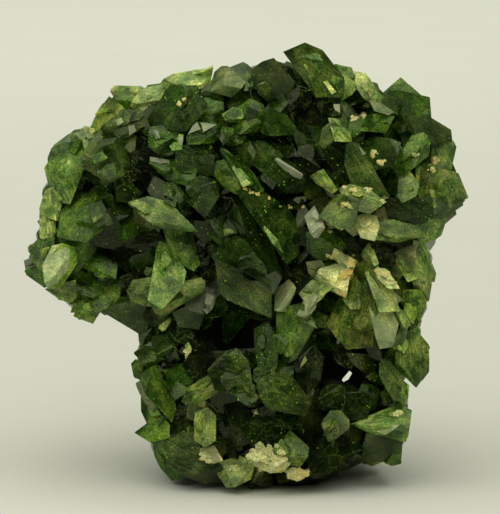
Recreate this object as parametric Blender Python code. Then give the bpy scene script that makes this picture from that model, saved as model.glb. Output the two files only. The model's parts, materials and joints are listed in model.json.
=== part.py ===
"""A hand-sized cluster of green uvite crystals, grown together as one piece of stone.

Places on the front are millimetres across and down the front view, from its top left corner.
The view looks down on the cluster by LOOK_DOWN, from EYE_DISTANCE. The rest is in metres, +Z up.
"""

import math
import random

import bmesh
import bpy
from mathutils import Matrix, Vector
from mathutils.geometry import convex_hull_2d

MM = 0.001
FRONT_SEED = 7
SIDE_SEED = 27

LOOK_DOWN = math.radians(10)
EYE_DISTANCE = 500 * MM
VIEW_CENTRE = (25.0, 25.7)
FOOT = (24.46, 47.9)  # the place of the base that the origin is under
FOOT_BACK = 4.0  # how far behind that place the origin is, to be under the middle of the cluster

# The lobes of the cluster, that is its crown, foot, left arm and right hip: centre, half width and
# half height in the front view, bulge to the front and bulge to the back.
LOBES = [
    ((24.7, 18.8), (22.5, 15.5), 10.5, 11.0),
    ((28.0, 38.0), (15.0, 14.0), 9.0, 10.0),
    ((9.6, 24.6), (7.6, 7.6), 7.0, 5.5),
    ((38.0, 29.0), (6.2, 9.5), 7.2, 6.5),
]

# The front crystals: name, how far it stands out from its lobe, how its main face leans
# to the right and upwards, and its rim in the front view.
FRONT = [
    # crown, from left to right
    ("crown_pale_tip", -1.5, (-0.5, 0.5),
     [(10.8, 9.4), (11.3, 8.5), (13.9, 9.1), (13.5, 10.6), (11.9, 11.0)]),
    ("crown_pale_ridge", -1.0, (0.1, 0.7),
     [(13.2, 10.6), (13.7, 9.1), (16.9, 7.9), (17.1, 8.5), (15.7, 10.3), (14.2, 11.3)]),
    ("crown_left_flank", -1.2, (-0.7, 0.3),
     [(8.7, 12.9), (9.8, 10.7), (10.9, 9.4), (12.2, 10.8), (12.6, 12.6), (10.2, 13.4)]),
    ("crown_left_foot", 0.3, (-0.1, 0.4),
     [(9.9, 12.8), (12.2, 10.8), (14.4, 11.0), (14.6, 12.4), (13.0, 13.6), (10.8, 14.0)]),
    ("shoulder_spike", -1.5, (-0.6, 0.6),
     [(6.7, 13.3), (7.5, 13.5), (8.2, 14.1), (7.8, 15.0), (6.9, 14.6)]),
    ("shoulder_step", -0.8, (-0.3, 0.7),
     [(7.4, 13.6), (8.5, 12.7), (9.3, 13.3), (10.0, 14.5), (8.8, 15.0)]),
    ("crown_dark_slope", 0.4, (-0.4, 0.2),
     [(14.4, 11.8), (16.9, 8.3), (19.6, 8.6), (20.4, 10.8), (18.6, 12.9), (15.4, 13.0)]),
    ("crown_yellow_edge", -1.4, (0.0, 0.9),
     [(16.4, 8.1), (17.3, 7.6), (21.3, 7.0), (20.9, 8.4), (19.0, 8.9), (17.0, 8.8)]),
    ("crown_grey_face", 0.6, (0.05, 0.5),
     [(20.7, 9.1), (20.8, 7.8), (21.9, 6.6), (22.7, 6.7), (24.6, 8.3), (23.2, 9.8)]),
    ("crown_middle", -0.8, (0.2, 0.5),
     [(22.4, 6.8), (24.6, 6.1), (25.4, 7.2), (25.6, 8.6), (24.6, 9.4), (22.8, 8.8)]),
    ("crown_olive", -0.2, (0.1, 0.3),
     [(25.2, 7.1), (27.5, 5.8), (29.6, 8.2), (29.1, 10.2), (27.4, 10.8), (25.7, 9.4)]),
    ("crown_olive_wedge", -1.2, (0.3, 0.9),
     [(27.4, 6.0), (28.7, 6.1), (30.2, 7.4), (30.0, 8.6), (28.6, 7.7)]),
    ("tower", 1.9, (0.35, 0.35),
     [(28.5, 5.3), (30.5, 4.3), (32.5, 4.9), (34.6, 8.0), (34.4, 9.8), (31.6, 9.7)]),
    ("tower_step", 1.0, (0.5, 0.6),
     [(32.8, 8.2), (33.4, 6.4), (35.0, 6.7), (35.1, 8.8), (34.2, 10.0)]),
    ("lime_lens", 0.9, (0.6, 0.5),
     [(35.2, 7.2), (36.9, 7.5), (38.4, 9.7), (38.0, 10.4), (36.9, 10.2), (35.8, 8.9)]),
    ("grey_ledge", 1.5, (0.2, 0.6),
     [(36.6, 9.7), (38.2, 10.2), (39.6, 11.2), (38.8, 11.5), (37.5, 11.1)]),
    ("right_peak", -2.2, (0.2, 0.4),
     [(38.9, 9.3), (40.0, 7.7), (41.9, 9.7), (41.4, 10.4), (39.4, 10.2)]),
    ("right_block", 0.3, (0.3, -0.1),
     [(38.2, 10.4), (39.1, 9.0), (43.0, 9.9), (43.3, 12.0), (41.6, 12.8), (39.8, 12.0)]),
    ("right_beam", 0.6, (0.5, 0.3),
     [(39.6, 11.4), (42.0, 11.0), (45.2, 13.1), (45.2, 14.3), (43.2, 14.4), (39.8, 12.4)]),
    ("right_notch", -0.6, (0.6, -0.1),
     [(43.0, 13.9), (45.3, 13.9), (45.8, 14.6), (45.2, 17.1), (44.0, 17.0), (43.0, 15.6)]),
    ("right_cheek", 1.1, (0.5, 0.1),
     [(43.2, 17.8), (43.8, 16.9), (45.8, 17.2), (46.7, 19.8), (45.0, 20.6), (43.6, 19.6)]),
    ("right_chin", 0.2, (0.5, -0.5),
     [(42.6, 20.2), (43.8, 19.4), (46.6, 19.8), (45.1, 21.6), (44.4, 22.2), (42.8, 21.6)]),
    ("right_lip", -0.4, (0.5, -0.2),
     [(41.2, 23.2), (42.0, 21.5), (44.6, 21.9), (43.9, 23.7), (42.6, 24.0)]),
    # left side, from the top down
    ("left_dome", 0.4, (-0.4, 0.4),
     [(5.2, 14.5), (8.2, 14.2), (8.6, 15.6), (8.1, 17.0), (6.4, 17.6), (4.8, 16.8)]),
    ("left_lime", 1.0, (-0.4, 0.0),
     [(4.3, 16.7), (4.9, 15.8), (8.0, 17.0), (6.9, 20.4), (5.8, 20.2), (4.7, 18.2)]),
    ("left_boulder", 1.4, (0.1, 0.1),
     [(8.0, 15.0), (9.7, 13.9), (12.8, 13.5), (13.3, 17.2), (10.8, 18.4), (8.0, 16.6)]),
    ("left_pale_wedge", 1.7, (-0.1, 0.5),
     [(8.2, 17.3), (9.7, 18.5), (9.6, 19.2), (8.6, 19.5), (7.6, 19.1)]),
    ("left_slab", 1.4, (0.1, 0.2),
     [(5.5, 23.7), (5.6, 21.2), (7.2, 18.9), (9.7, 18.7), (11.5, 22.4), (8.6, 24.2)]),
    ("left_rind_lower", -0.1, (-0.5, 0.0),
     [(3.6, 22.0), (3.9, 20.6), (5.3, 20.4), (5.7, 21.6), (5.5, 24.0), (3.9, 24.1)]),
    ("left_elbow", 0.4, (-0.4, 0.2),
     [(2.9, 24.9), (5.3, 23.7), (5.4, 25.4), (4.4, 27.2), (3.0, 26.4)]),
    ("left_oval_face", 2.4, (-0.05, 0.5),
     [(4.3, 26.5), (5.1, 24.3), (6.2, 24.1), (7.1, 24.7), (7.0, 27.0), (5.0, 28.6)]),
    ("left_oval_back", 1.3, (0.3, -0.1),
     [(4.8, 26.2), (6.2, 24.4), (7.6, 24.6), (7.8, 26.4), (6.2, 28.8), (5.0, 29.0)]),
    ("left_hem", 0.9, (-0.3, -0.4),
     [(2.4, 27.0), (4.3, 26.9), (5.2, 28.4), (4.5, 28.9), (2.5, 27.5)]),
    ("left_keel", 1.2, (-0.1, -0.5),
     [(4.4, 28.9), (7.4, 28.2), (7.7, 29.8), (7.2, 30.4), (5.8, 30.0)]),
    ("left_barb", 0.3, (-0.4, -0.2),
     [(6.8, 31.4), (7.3, 30.3), (8.0, 29.8), (8.3, 30.6), (7.6, 31.3)]),
    ("left_fin", 1.3, (0.1, 0.1),
     [(7.4, 31.4), (8.0, 30.4), (9.4, 29.9), (10.1, 31.1), (9.3, 32.2)]),
    ("arm_underside", 0.8, (0.0, -0.3),
     [(9.8, 31.3), (10.6, 30.0), (12.9, 29.4), (14.9, 31.0), (15.0, 33.2), (13.9, 34.0)]),
    # the dim recess in the middle of the left side
    ("recess_green", -1.8, (0.0, 0.3),
     [(8.0, 27.9), (10.0, 27.6), (12.2, 28.4), (12.0, 30.2), (10.0, 31.0), (8.2, 30.4)]),
    ("recess_post", -1.6, (0.1, 0.2),
     [(13.8, 22.6), (15.0, 22.0), (16.1, 23.8), (15.8, 26.4), (14.8, 26.0), (13.9, 24.6)]),
    ("recess_dark", -4.4, (-0.2, 0.2),
     [(10.6, 23.6), (11.0, 21.6), (13.8, 21.4), (14.8, 24.6), (13.6, 27.6), (11.4, 26.6)]),
    ("shadow_left", -0.3, (0.2, 0.3),
     [(13.0, 17.8), (13.2, 15.6), (14.6, 15.2), (16.0, 16.6), (15.8, 18.8), (14.2, 19.2)]),
    ("shadow_left_low", -0.2, (-0.2, 0.1),
     [(11.4, 18.6), (13.0, 18.0), (14.2, 19.4), (13.2, 20.4), (11.6, 20.2)]),
    ("shadow_left_foot", -0.6, (0.3, 0.2),
     [(11.2, 22.4), (11.4, 20.6), (12.8, 20.4), (14.2, 21.6), (13.8, 23.6), (12.0, 24.2)]),
    ("shadow_middle", 0.1, (0.1, 0.3),
     [(16.0, 18.2), (17.8, 18.0), (18.8, 19.8), (18.2, 21.2), (16.4, 20.0)]),
    # middle left
    ("pale_slope", 1.2, (-0.1, 0.5),
     [(12.2, 19.9), (14.7, 19.2), (17.0, 20.1), (19.7, 23.1), (16.7, 23.0), (12.8, 20.8)]),
    ("pale_slope_foot", 0.1, (0.2, 0.0),
     [(16.3, 22.6), (19.3, 23.0), (20.1, 26.4), (19.4, 27.2), (17.6, 26.2), (16.9, 24.6)]),
    ("pale_spire", 1.8, (0.2, 0.4),
     [(15.4, 28.2), (15.8, 24.7), (16.3, 23.5), (19.2, 26.8), (18.4, 28.6), (16.5, 29.4)]),
    ("spire_foot_left", 1.2, (-0.3, 0.2),
     [(12.4, 29.1), (13.1, 27.8), (15.8, 27.6), (16.4, 29.4), (15.2, 30.8), (13.0, 30.3)]),
    ("spire_foot_right", 1.4, (0.1, -0.2),
     [(14.5, 30.2), (15.6, 28.0), (19.9, 26.8), (20.7, 28.2), (20.5, 29.3), (16.0, 31.8)]),
    ("bar_left", 0.2, (0.0, 0.6),
     [(14.8, 15.6), (18.8, 15.9), (19.8, 17.0), (19.0, 18.6), (16.6, 18.2), (15.0, 16.6)]),
    ("brow_left", -0.2, (0.0, 0.3),
     [(14.8, 12.6), (16.6, 12.4), (18.6, 13.2), (18.2, 15.0), (16.2, 15.8), (14.8, 14.6)]),
    ("brow_pale_chip", 0.7, (0.1, 0.5),
     [(17.0, 14.6), (18.0, 13.2), (18.6, 13.4), (18.1, 14.9), (17.3, 15.0)]),
    ("brow_grey_step", 0.6, (0.0, 0.45),
     [(18.6, 13.6), (19.6, 12.1), (22.2, 12.3), (22.4, 13.4), (21.4, 14.4), (18.7, 14.5)]),
    ("brow_upper", -0.2, (0.0, 0.2),
     [(18.2, 12.4), (18.5, 10.6), (20.6, 9.6), (22.4, 10.2), (22.4, 12.2), (20.2, 12.8)]),
    ("brow_under", -0.1, (0.0, -0.1),
     [(17.4, 16.4), (17.6, 14.6), (20.4, 14.4), (22.2, 15.4), (21.8, 17.6), (19.2, 17.8)]),
    ("mossy_left", 0.9, (0.0, 0.4),
     [(22.0, 11.4), (24.7, 9.5), (26.6, 10.4), (26.9, 11.8), (25.6, 13.3), (23.6, 13.2)]),
    ("mossy_right", 0.8, (0.3, 0.1),
     [(25.4, 11.4), (27.2, 10.9), (28.8, 11.4), (29.8, 12.6), (29.6, 13.6), (26.2, 13.5)]),
    ("dark_pentagon", 1.1, (-0.05, -0.15),
     [(18.5, 18.2), (20.0, 17.6), (21.8, 18.0), (22.1, 19.5), (20.5, 22.1), (18.6, 20.1)]),
    ("pentagon_foot", -0.6, (0.2, 0.2),
     [(20.4, 21.6), (22.2, 20.6), (23.8, 22.4), (23.6, 24.2), (21.8, 24.6), (20.6, 23.4)]),
    ("neck_step", 0.2, (-0.1, 0.3),
     [(21.8, 13.9), (22.2, 12.6), (24.4, 13.0), (24.8, 14.4), (23.0, 14.9)]),
    # the long crystals that lie across the middle
    ("lath_upper", 0.8, (-0.2, 0.3),
     [(21.8, 14.4), (23.0, 14.6), (25.2, 17.2), (26.4, 19.0), (25.4, 19.4), (22.0, 15.4)]),
    ("lath_lower", 0.2, (-0.3, 0.1),
     [(20.9, 16.0), (22.6, 15.8), (25.2, 19.0), (24.6, 19.8), (22.4, 18.8), (21.0, 17.4)]),
    ("lath_behind", -0.2, (0.0, 0.0),
     [(24.6, 14.0), (26.4, 14.0), (31.2, 17.8), (31.0, 19.2), (28.6, 19.4), (24.6, 16.0)]),
    ("broad_lath_top", 0.6, (0.4, 0.3),
     [(24.0, 19.2), (25.4, 18.8), (28.8, 20.6), (30.4, 22.6), (30.0, 25.6), (28.6, 26.6)]),
    ("broad_lath_low", 0.4, (-0.4, -0.1),
     [(21.8, 19.6), (24.0, 19.4), (27.4, 23.4), (28.4, 26.4), (26.6, 26.6), (22.2, 21.6)]),
    ("shadow_crown", -2.4, (-0.2, 0.2),
     [(29.0, 10.2), (31.4, 9.8), (33.6, 11.2), (33.4, 14.2), (31.4, 15.8), (29.4, 14.8)]),
    ("shadow_cheek", -1.2, (-0.2, 0.1),
     [(31.0, 14.2), (33.6, 13.4), (35.4, 15.6), (34.6, 18.4), (32.4, 18.6), (31.0, 16.6)]),
    ("hexagon_face", 2.3, (-0.1, -0.12),
     [(21.4, 25.8), (22.0, 24.2), (24.4, 23.8), (26.8, 26.8), (27.2, 32.0), (22.4, 30.4)]),
    ("hexagon_back", 0.4, (0.2, 0.3),
     [(22.4, 23.4), (25.2, 23.0), (27.6, 25.4), (28.4, 27.6), (27.2, 29.2), (24.6, 27.6)]),
    # right of the middle
    ("lime_flake", 1.6, (0.0, 0.1),
     [(30.9, 17.5), (32.4, 16.8), (33.8, 19.0), (33.2, 19.4), (31.6, 18.5)]),
    ("leaf_face", 1.1, (0.2, 0.1),
     [(36.1, 13.0), (36.4, 11.6), (38.4, 11.2), (39.7, 11.6), (38.6, 13.3)]),
    ("gilded_nest", 0.2, (-0.1, 0.2),
     [(34.8, 12.0), (36.5, 11.6), (36.1, 13.2), (35.4, 13.8), (34.8, 13.2)]),
    ("pale_sliver", 0.4, (0.4, 0.4),
     [(32.6, 11.6), (33.8, 11.7), (35.2, 13.3), (35.2, 14.2), (33.6, 13.9)]),
    ("quiet_face", 0.4, (-0.1, 0.0),
     [(34.4, 16.6), (34.6, 14.0), (36.0, 14.4), (38.8, 19.4), (37.0, 19.8), (35.2, 18.8)]),
    ("spear_right", -0.6, (-0.2, 0.1),
     [(37.0, 13.4), (38.6, 13.2), (40.2, 14.8), (40.4, 17.2), (38.8, 18.2), (37.4, 16.4)]),
    ("cheek_pale", 0.9, (-0.2, 0.3),
     [(40.0, 15.2), (41.0, 13.4), (42.4, 13.1), (43.2, 14.2), (43.0, 15.6), (40.2, 17.4)]),
    ("cheek_grey", 0.4, (0.0, 0.2),
     [(39.2, 17.2), (41.0, 16.8), (42.0, 18.4), (41.6, 19.6), (40.2, 20.2), (39.2, 19.2)]),
    ("cheek_split", 0.7, (0.3, 0.1),
     [(41.6, 16.6), (43.4, 16.2), (44.4, 17.8), (44.2, 19.6), (42.8, 20.4), (41.8, 19.4)]),
    ("cheek_dark", 0.4, (-0.1, -0.1),
     [(38.4, 21.2), (38.6, 19.6), (43.2, 19.8), (43.4, 21.8), (41.6, 22.8), (39.2, 22.6)]),
    ("jaw_band", 0.8, (0.1, 0.2),
     [(37.2, 22.4), (39.2, 21.8), (42.4, 22.6), (42.2, 23.8), (39.8, 24.4), (37.4, 23.8)]),
    ("grey_shard", 1.5, (-0.1, 0.45),
     [(30.3, 21.6), (31.6, 20.0), (32.6, 22.9), (31.8, 24.0), (31.0, 23.2)]),
    ("pale_fist", 2.2, (-0.2, 0.3),
     [(31.7, 21.7), (33.2, 19.5), (34.5, 19.0), (36.0, 20.0), (35.4, 22.2), (34.0, 22.9)]),
    ("pale_knuckle", 1.8, (0.2, 0.5),
     [(33.8, 18.8), (35.0, 18.2), (37.2, 18.8), (38.9, 20.2), (36.8, 21.2), (34.8, 20.6)]),
    ("pale_thumb", 1.8, (0.3, 0.2),
     [(34.6, 24.8), (35.0, 23.2), (36.0, 21.2), (37.6, 21.9), (37.4, 23.9), (35.8, 24.9)]),
    ("under_fist", 0.2, (0.0, -0.3),
     [(30.6, 23.4), (33.2, 22.8), (34.8, 24.4), (34.2, 25.8), (32.0, 26.2), (30.6, 25.2)]),
    ("temple", -0.6, (0.4, -0.1),
     [(39.6, 23.8), (41.8, 23.6), (42.8, 25.4), (42.4, 27.6), (40.8, 28.0), (39.6, 26.0)]),
    ("far_right_rib", -0.2, (0.7, 0.0),
     [(41.0, 27.2), (41.4, 24.2), (42.4, 24.0), (43.6, 27.4), (42.6, 30.6), (41.6, 29.8)]),
    ("right_hip", 0.6, (0.4, -0.1),
     [(40.0, 30.4), (40.2, 29.0), (42.2, 28.8), (42.9, 30.2), (41.8, 33.0), (40.8, 32.0)]),
    ("pale_tooth", 1.3, (0.1, 0.4),
     [(36.2, 25.4), (37.4, 23.9), (37.9, 25.5), (38.4, 27.8), (37.6, 28.2)]),
    ("matrix_spur", 1.7, (0.2, 0.4),
     [(37.4, 26.6), (38.8, 26.9), (40.0, 28.9), (38.8, 28.8), (37.8, 27.9)]),
    ("great_wedge_left", 2.4, (-0.25, 0.05),
     [(33.6, 33.4), (35.1, 26.2), (36.5, 25.8), (38.5, 30.0), (38.0, 34.6), (35.6, 35.1)]),
    ("great_wedge_right", 2.0, (0.45, 0.2),
     [(36.5, 26.0), (37.8, 26.8), (39.9, 32.4), (39.2, 34.6), (38.0, 34.8), (36.9, 30.6)]),
    ("pale_bridge", 2.1, (-0.1, 0.4),
     [(31.2, 28.0), (32.0, 26.8), (33.8, 26.2), (35.2, 26.8), (34.4, 29.8), (32.4, 29.0)]),
    ("pale_bridge_top", 1.7, (0.0, 0.6),
     [(32.7, 25.6), (33.8, 24.8), (35.6, 26.0), (35.3, 27.2), (33.4, 26.9)]),
    ("twin_head", 2.1, (-0.1, 0.3),
     [(27.1, 29.0), (29.0, 27.7), (29.7, 28.8), (28.6, 31.2), (27.5, 31.0)]),
    ("twin_body", 1.8, (-0.1, 0.1),
     [(27.2, 30.8), (30.4, 30.2), (31.8, 32.4), (29.6, 36.2), (28.4, 36.6), (27.2, 35.1)]),
    ("twin_tile", 2.3, (0.1, 0.4),
     [(30.0, 31.0), (31.0, 29.1), (32.0, 29.6), (31.6, 30.8), (30.6, 31.5)]),
    # lower right
    ("hip_mottled", 1.0, (0.3, 0.2),
     [(39.5, 36.6), (39.6, 33.6), (41.6, 32.8), (43.0, 35.2), (42.8, 37.0), (41.5, 38.5)]),
    ("hip_grey", 0.8, (-0.1, 0.0),
     [(39.2, 34.8), (40.0, 32.6), (41.0, 32.2), (40.6, 34.0), (39.8, 35.2)]),
    ("grey_leaf", 1.5, (0.1, -0.15),
     [(37.9, 37.6), (38.0, 35.7), (39.1, 36.0), (40.4, 37.5), (40.2, 40.3), (39.2, 40.2)]),
    ("leaf_back", 0.4, (0.5, 0.0),
     [(39.6, 37.6), (41.2, 38.4), (41.2, 40.2), (40.8, 41.2), (39.8, 40.6)]),
    ("pocket_floor", -1.0, (-0.1, 0.4),
     [(33.0, 40.8), (33.4, 38.6), (35.4, 38.4), (37.2, 40.2), (36.8, 41.8), (34.4, 42.2)]),
    ("pocket_step", 0.3, (0.0, 0.3),
     [(31.8, 38.8), (33.4, 38.2), (34.6, 38.6), (34.6, 40.4), (33.4, 41.6), (31.8, 40.8)]),
    ("low_right_band", 1.7, (0.1, 0.3),
     [(34.6, 42.4), (37.8, 40.9), (40.2, 40.5), (41.3, 41.2), (40.0, 44.0), (37.2, 43.6)]),
    ("low_right_dark", 1.3, (-0.1, -0.2),
     [(36.6, 43.3), (39.2, 43.4), (39.9, 44.2), (38.6, 45.9), (36.9, 46.7), (35.8, 45.8)]),
    ("low_right_tip", 0.9, (0.2, -0.1),
     [(38.3, 45.4), (39.8, 43.8), (40.1, 46.5), (39.2, 46.7), (38.3, 46.2)]),
    ("low_round", 1.8, (0.1, 0.2),
     [(32.0, 42.4), (33.0, 41.0), (34.2, 41.0), (35.0, 42.0), (35.0, 42.8), (32.8, 44.3)]),
    ("low_shadow_block", 0.7, (0.1, -0.3),
     [(30.4, 45.8), (30.6, 44.2), (35.2, 43.4), (35.3, 45.4), (33.0, 47.4), (31.2, 47.4)]),
    # lower middle
    ("table_face", 1.7, (0.1, 0.15),
     [(25.4, 38.6), (26.4, 37.3), (29.0, 37.3), (31.3, 40.2), (30.6, 41.7), (26.8, 41.0)]),
    ("table_back", 0.6, (-0.2, 0.4),
     [(25.2, 36.6), (27.4, 35.4), (29.4, 36.6), (29.2, 38.2), (26.6, 38.8), (25.2, 38.0)]),
    ("hollow_jamb", 0.4, (-0.4, 0.2),
     [(25.2, 32.8), (26.8, 32.0), (27.8, 34.0), (27.4, 36.6), (26.0, 37.4), (25.4, 35.2)]),
    ("post_right", 0.0, (0.2, 0.0),
     [(29.4, 36.2), (31.4, 34.4), (32.6, 35.6), (32.2, 38.4), (31.0, 39.8), (29.6, 38.2)]),
    ("amber_left", 1.5, (-0.1, 0.3),
     [(21.7, 37.2), (22.5, 35.3), (24.6, 35.2), (25.0, 38.5), (23.5, 39.2), (22.2, 38.5)]),
    ("amber_tail", 1.6, (0.1, 0.2),
     [(23.4, 38.5), (25.0, 38.2), (26.0, 39.8), (24.8, 40.6), (23.8, 40.0)]),
    ("amber_arm", 1.3, (-0.2, 0.4),
     [(18.0, 40.0), (19.0, 38.2), (22.2, 37.0), (23.5, 38.8), (22.5, 39.8), (18.5, 40.6)]),
    ("pale_pillar", 1.7, (0.0, 0.2),
     [(19.3, 41.2), (20.8, 40.6), (21.7, 41.5), (21.5, 44.0), (20.5, 44.6), (19.5, 44.0)]),
    ("pillar_foot", 1.8, (0.1, 0.4),
     [(19.8, 44.8), (21.6, 44.4), (22.3, 46.0), (21.2, 46.7), (20.1, 45.6)]),
    ("cave_left", -1.0, (0.1, 0.2),
     [(21.8, 43.0), (22.0, 40.4), (24.6, 40.2), (25.6, 42.2), (24.8, 44.8), (22.8, 45.2)]),
    ("cave_right", -0.2, (-0.2, 0.1),
     [(24.4, 43.6), (24.6, 41.2), (27.2, 41.2), (28.6, 43.0), (27.8, 44.8), (25.6, 45.4)]),
    ("cave_sill", 0.6, (0.0, 0.4),
     [(21.6, 46.2), (24.0, 45.4), (25.6, 46.2), (25.2, 48.0), (22.6, 48.8), (21.6, 47.6)]),
    ("pale_skirt", 1.2, (-0.1, 0.3),
     [(27.0, 45.0), (28.9, 42.6), (31.0, 44.8), (30.6, 46.0), (30.2, 47.0), (28.0, 46.6)]),
    ("matrix_apron", 1.9, (0.0, 0.4),
     [(24.7, 44.8), (27.6, 44.6), (28.8, 45.6), (28.9, 46.8), (28.2, 47.5), (25.3, 46.9)]),
    ("matrix_bead", 1.3, (0.0, 0.2),
     [(28.4, 47.2), (29.2, 46.6), (31.0, 47.1), (30.4, 47.9), (29.2, 48.0)]),
    # lower left
    ("great_foot_face", 1.6, (-0.1, -0.12),
     [(16.2, 44.2), (18.4, 42.9), (23.2, 47.7), (22.6, 48.7), (20.4, 49.0), (16.6, 46.6)]),
    ("foot_side", 0.6, (-0.6, -0.2),
     [(15.0, 44.0), (16.6, 44.0), (17.8, 47.8), (17.2, 48.1), (16.0, 47.0), (15.2, 45.5)]),
    ("foot_spike", 1.3, (-0.3, 0.1),
     [(13.5, 43.3), (16.0, 41.4), (16.9, 42.5), (16.8, 43.8), (15.0, 44.1)]),
    ("grey_stave", 0.9, (-0.3, 0.3),
     [(13.3, 38.2), (14.0, 37.8), (16.6, 40.8), (15.6, 41.2), (14.2, 39.9), (13.6, 38.9)]),
    ("green_stave", 1.2, (0.3, 0.1),
     [(13.8, 38.2), (14.2, 37.2), (15.5, 36.5), (17.5, 39.2), (17.7, 41.0), (17.2, 42.4)]),
    ("waist_bud", 0.0, (-0.5, 0.3),
     [(12.9, 36.3), (13.5, 35.7), (14.6, 36.4), (14.4, 38.2), (13.4, 37.8)]),
    ("waist_ledge", 0.1, (-0.2, 0.5),
     [(13.2, 35.3), (14.4, 34.4), (16.0, 34.8), (16.4, 36.0), (14.6, 36.6)]),
    ("waist_back", -3.0, (0.0, 0.2),
     [(14.0, 30.6), (16.6, 30.8), (16.9, 33.4), (14.6, 33.7)]),
    ("waist_block", 0.0, (-0.2, 0.2),
     [(13.7, 33.2), (14.9, 32.4), (15.4, 33.0), (14.8, 34.4), (14.0, 34.8)]),
    ("waist_glint", 0.2, (0.1, 0.3),
     [(15.0, 33.4), (18.0, 33.0), (17.9, 34.6), (16.6, 35.6), (15.2, 35.0)]),
    ("under_spire", 0.3, (0.0, -0.2),
     [(17.2, 31.2), (20.5, 29.9), (20.7, 31.4), (20.0, 33.1), (17.8, 32.8)]),
    ("spire_tile", 1.0, (0.2, 0.4),
     [(20.3, 29.3), (20.9, 29.0), (21.8, 29.6), (21.2, 31.0), (20.6, 31.5)]),
    ("hollow_sill", -0.6, (0.1, 0.4),
     [(16.4, 36.6), (18.6, 35.8), (20.2, 37.2), (19.2, 38.8), (17.6, 39.6), (16.4, 38.4)]),
    ("hollow_dark", -2.6, (0.2, 0.2),
     [(18.2, 36.2), (18.6, 34.6), (21.4, 34.2), (22.4, 36.0), (21.6, 37.8), (19.4, 37.8)]),
    ("stave_shadow", -0.8, (0.1, 0.1),
     [(17.0, 40.6), (19.4, 40.4), (19.8, 42.6), (18.6, 44.0), (17.0, 43.2)]),
]
FRONT_TAPER = (0.08, 0.28)  # how much the sides of a front crystal close in, for each step back
FRONT_LEAN = 1.5
FRONT_BEVEL_ODDS = 0.26
FRONT_BEVEL_WIDTH = (0.12, 0.6)  # of the crystal's size
FRONT_BEVEL_SLOPE = (0.5, 1.6)
FRONT_DEPTH = (1.0, 1.25)  # of the crystal's size
FRONT_ROOT = 1.0  # how far a front crystal reaches into the heart at least
FRONT_BACK_SLOPE = 0.9  # of the three faces that close it at the back

# The massive heart of each lobe, which the crystals grow out of: its rim in the front view.
HEARTS = [
    [
        (4.2, 16.5), (5.0, 14.6), (11.4, 8.7), (17.0, 7.8), (24.0, 6.6), (30.0, 6.6), (35.5, 7.2),
        (41.5, 9.8),
        (43.4, 12.0), (45.6, 15.0), (46.4, 19.4), (44.6, 21.6), (42.2, 24.8), (41.0, 31.0),
        (13.0, 32.0), (6.8, 30.6), (3.2, 27.0),
    ],
    [
        (13.6, 28.0), (43.0, 28.0), (42.6, 37.0), (41.0, 42.4), (40.0, 46.8), (32.0, 50.6), (21.0, 51.8),
        (17.6, 50.0), (15.6, 46.2), (14.2, 41.0), (13.4, 36.0),
    ],
    [(3.6, 19.0), (10.0, 16.6), (16.0, 20.0), (16.6, 33.0), (9.8, 31.8), (6.8, 30.8), (2.6, 27.2)],
    [(33.0, 20.0), (41.0, 20.0), (43.2, 24.8), (43.4, 27.4), (42.6, 32.0), (42.4, 37.6), (34.0, 38.0)],
]
HEART_INSETS = (2.4, 2.2, 1.5, 1.5)  # how far each heart's rim stays inside
HEART_COVERS = (3.5, 2.8, 2.4, 3.0)  # how far each heart stays under the lobe's surface
HEART_FACES = 22

# Hollows between the crystals: name, depth below the lobe's surface and rim in the front view.
HOLLOWS = [
    ("main_hollow", 6.5, [(19.9, 31.2), (22.4, 30.8), (26.6, 32.3), (25.6, 34.8), (20.2, 35.2)]),
    ("left_recess", 4.0, [(8.2, 24.4), (12.0, 23.6), (15.2, 25.0), (13.4, 27.6), (12.0, 28.6), (8.2, 28.0)]),
    ("right_pocket", 7.0, [(31.0, 34.8), (36.4, 35.4), (36.9, 37.4), (35.4, 39.4), (31.4, 40.0)]),
    ("cave", 4.4, [(22.0, 40.4), (25.8, 40.2), (27.2, 42.4), (26.4, 44.2), (24.0, 45.0), (22.2, 44.0)]),
    ("right_gap", 3.4, [(37.9, 24.4), (40.6, 26.0), (40.6, 27.9), (39.0, 26.6)]),
    ("crown_gap", 3.0, [(29.4, 10.2), (32.6, 10.2), (33.6, 12.6), (31.4, 14.4), (29.6, 13.0)]),
]
HOLLOW_MOUTH = 30  # nearer the eye than anything in the cluster
# The one gap that shows daylight from the front, and how it opens out towards the back
WINDOW = [(34.2, 37.6), (34.9, 37.1), (35.1, 37.5), (34.9, 38.0), (34.4, 38.2)]
WINDOW_SPAN = (12.0, -14.0)
WINDOW_FLARE = 1.6

# Uvite's habit: its pyramid faces slope by these from the base plane.
LOW_PYRAMID = math.radians(27.3)
STEEP_PYRAMID = math.radians(45.9)
PRISM_REACH = (0.72, 1.12)  # how far out each prism face of a side crystal lies, of its half width
STEEP_ODDS = 0.3
FLAT_END_ODDS = 0.35

SIDE_COUNT = 72
SIDE_SIZE = (1.9, 4.0)  # half width of a crystal on the sides and back, in mm
SIDE_SINK = (1.0, 0.45)  # how far a crystal's middle lies inside the rim and the back, of its half width
SIDE_TRIES = 30000
SIDE_BURIED = 0.6  # a side crystal this deep in another lobe would not show, where 1 is that lobe's surface
SIDE_LIFT = 0.6  # least height of a side crystal's middle above the base, of its half width
SIDE_SHARES = (0.5, 0.82, 0.92, 1.0)  # chance that a side crystal is on this lobe or one before it
SIDE_FRONT = 0.25  # side crystals face no further to the front than this
SIDE_CLEARANCE = 1.0  # how far a side crystal's middle stays inside the outline, of its half width
DRAW_STEP = 0.05
SIDE_SPREAD = 0.66  # least distance between side crystals, of the sum of their half widths
LEAN_OUT = math.radians(48)  # most that a side crystal's axis leans from straight out

FLAT_ENOUGH = math.radians(0.2)  # faces that meet flatter than this are one face

GREEN = (0.035, 0.085, 0.018)


def clear_scene():
    for item in list(bpy.data.objects):
        bpy.data.objects.remove(item)


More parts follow.
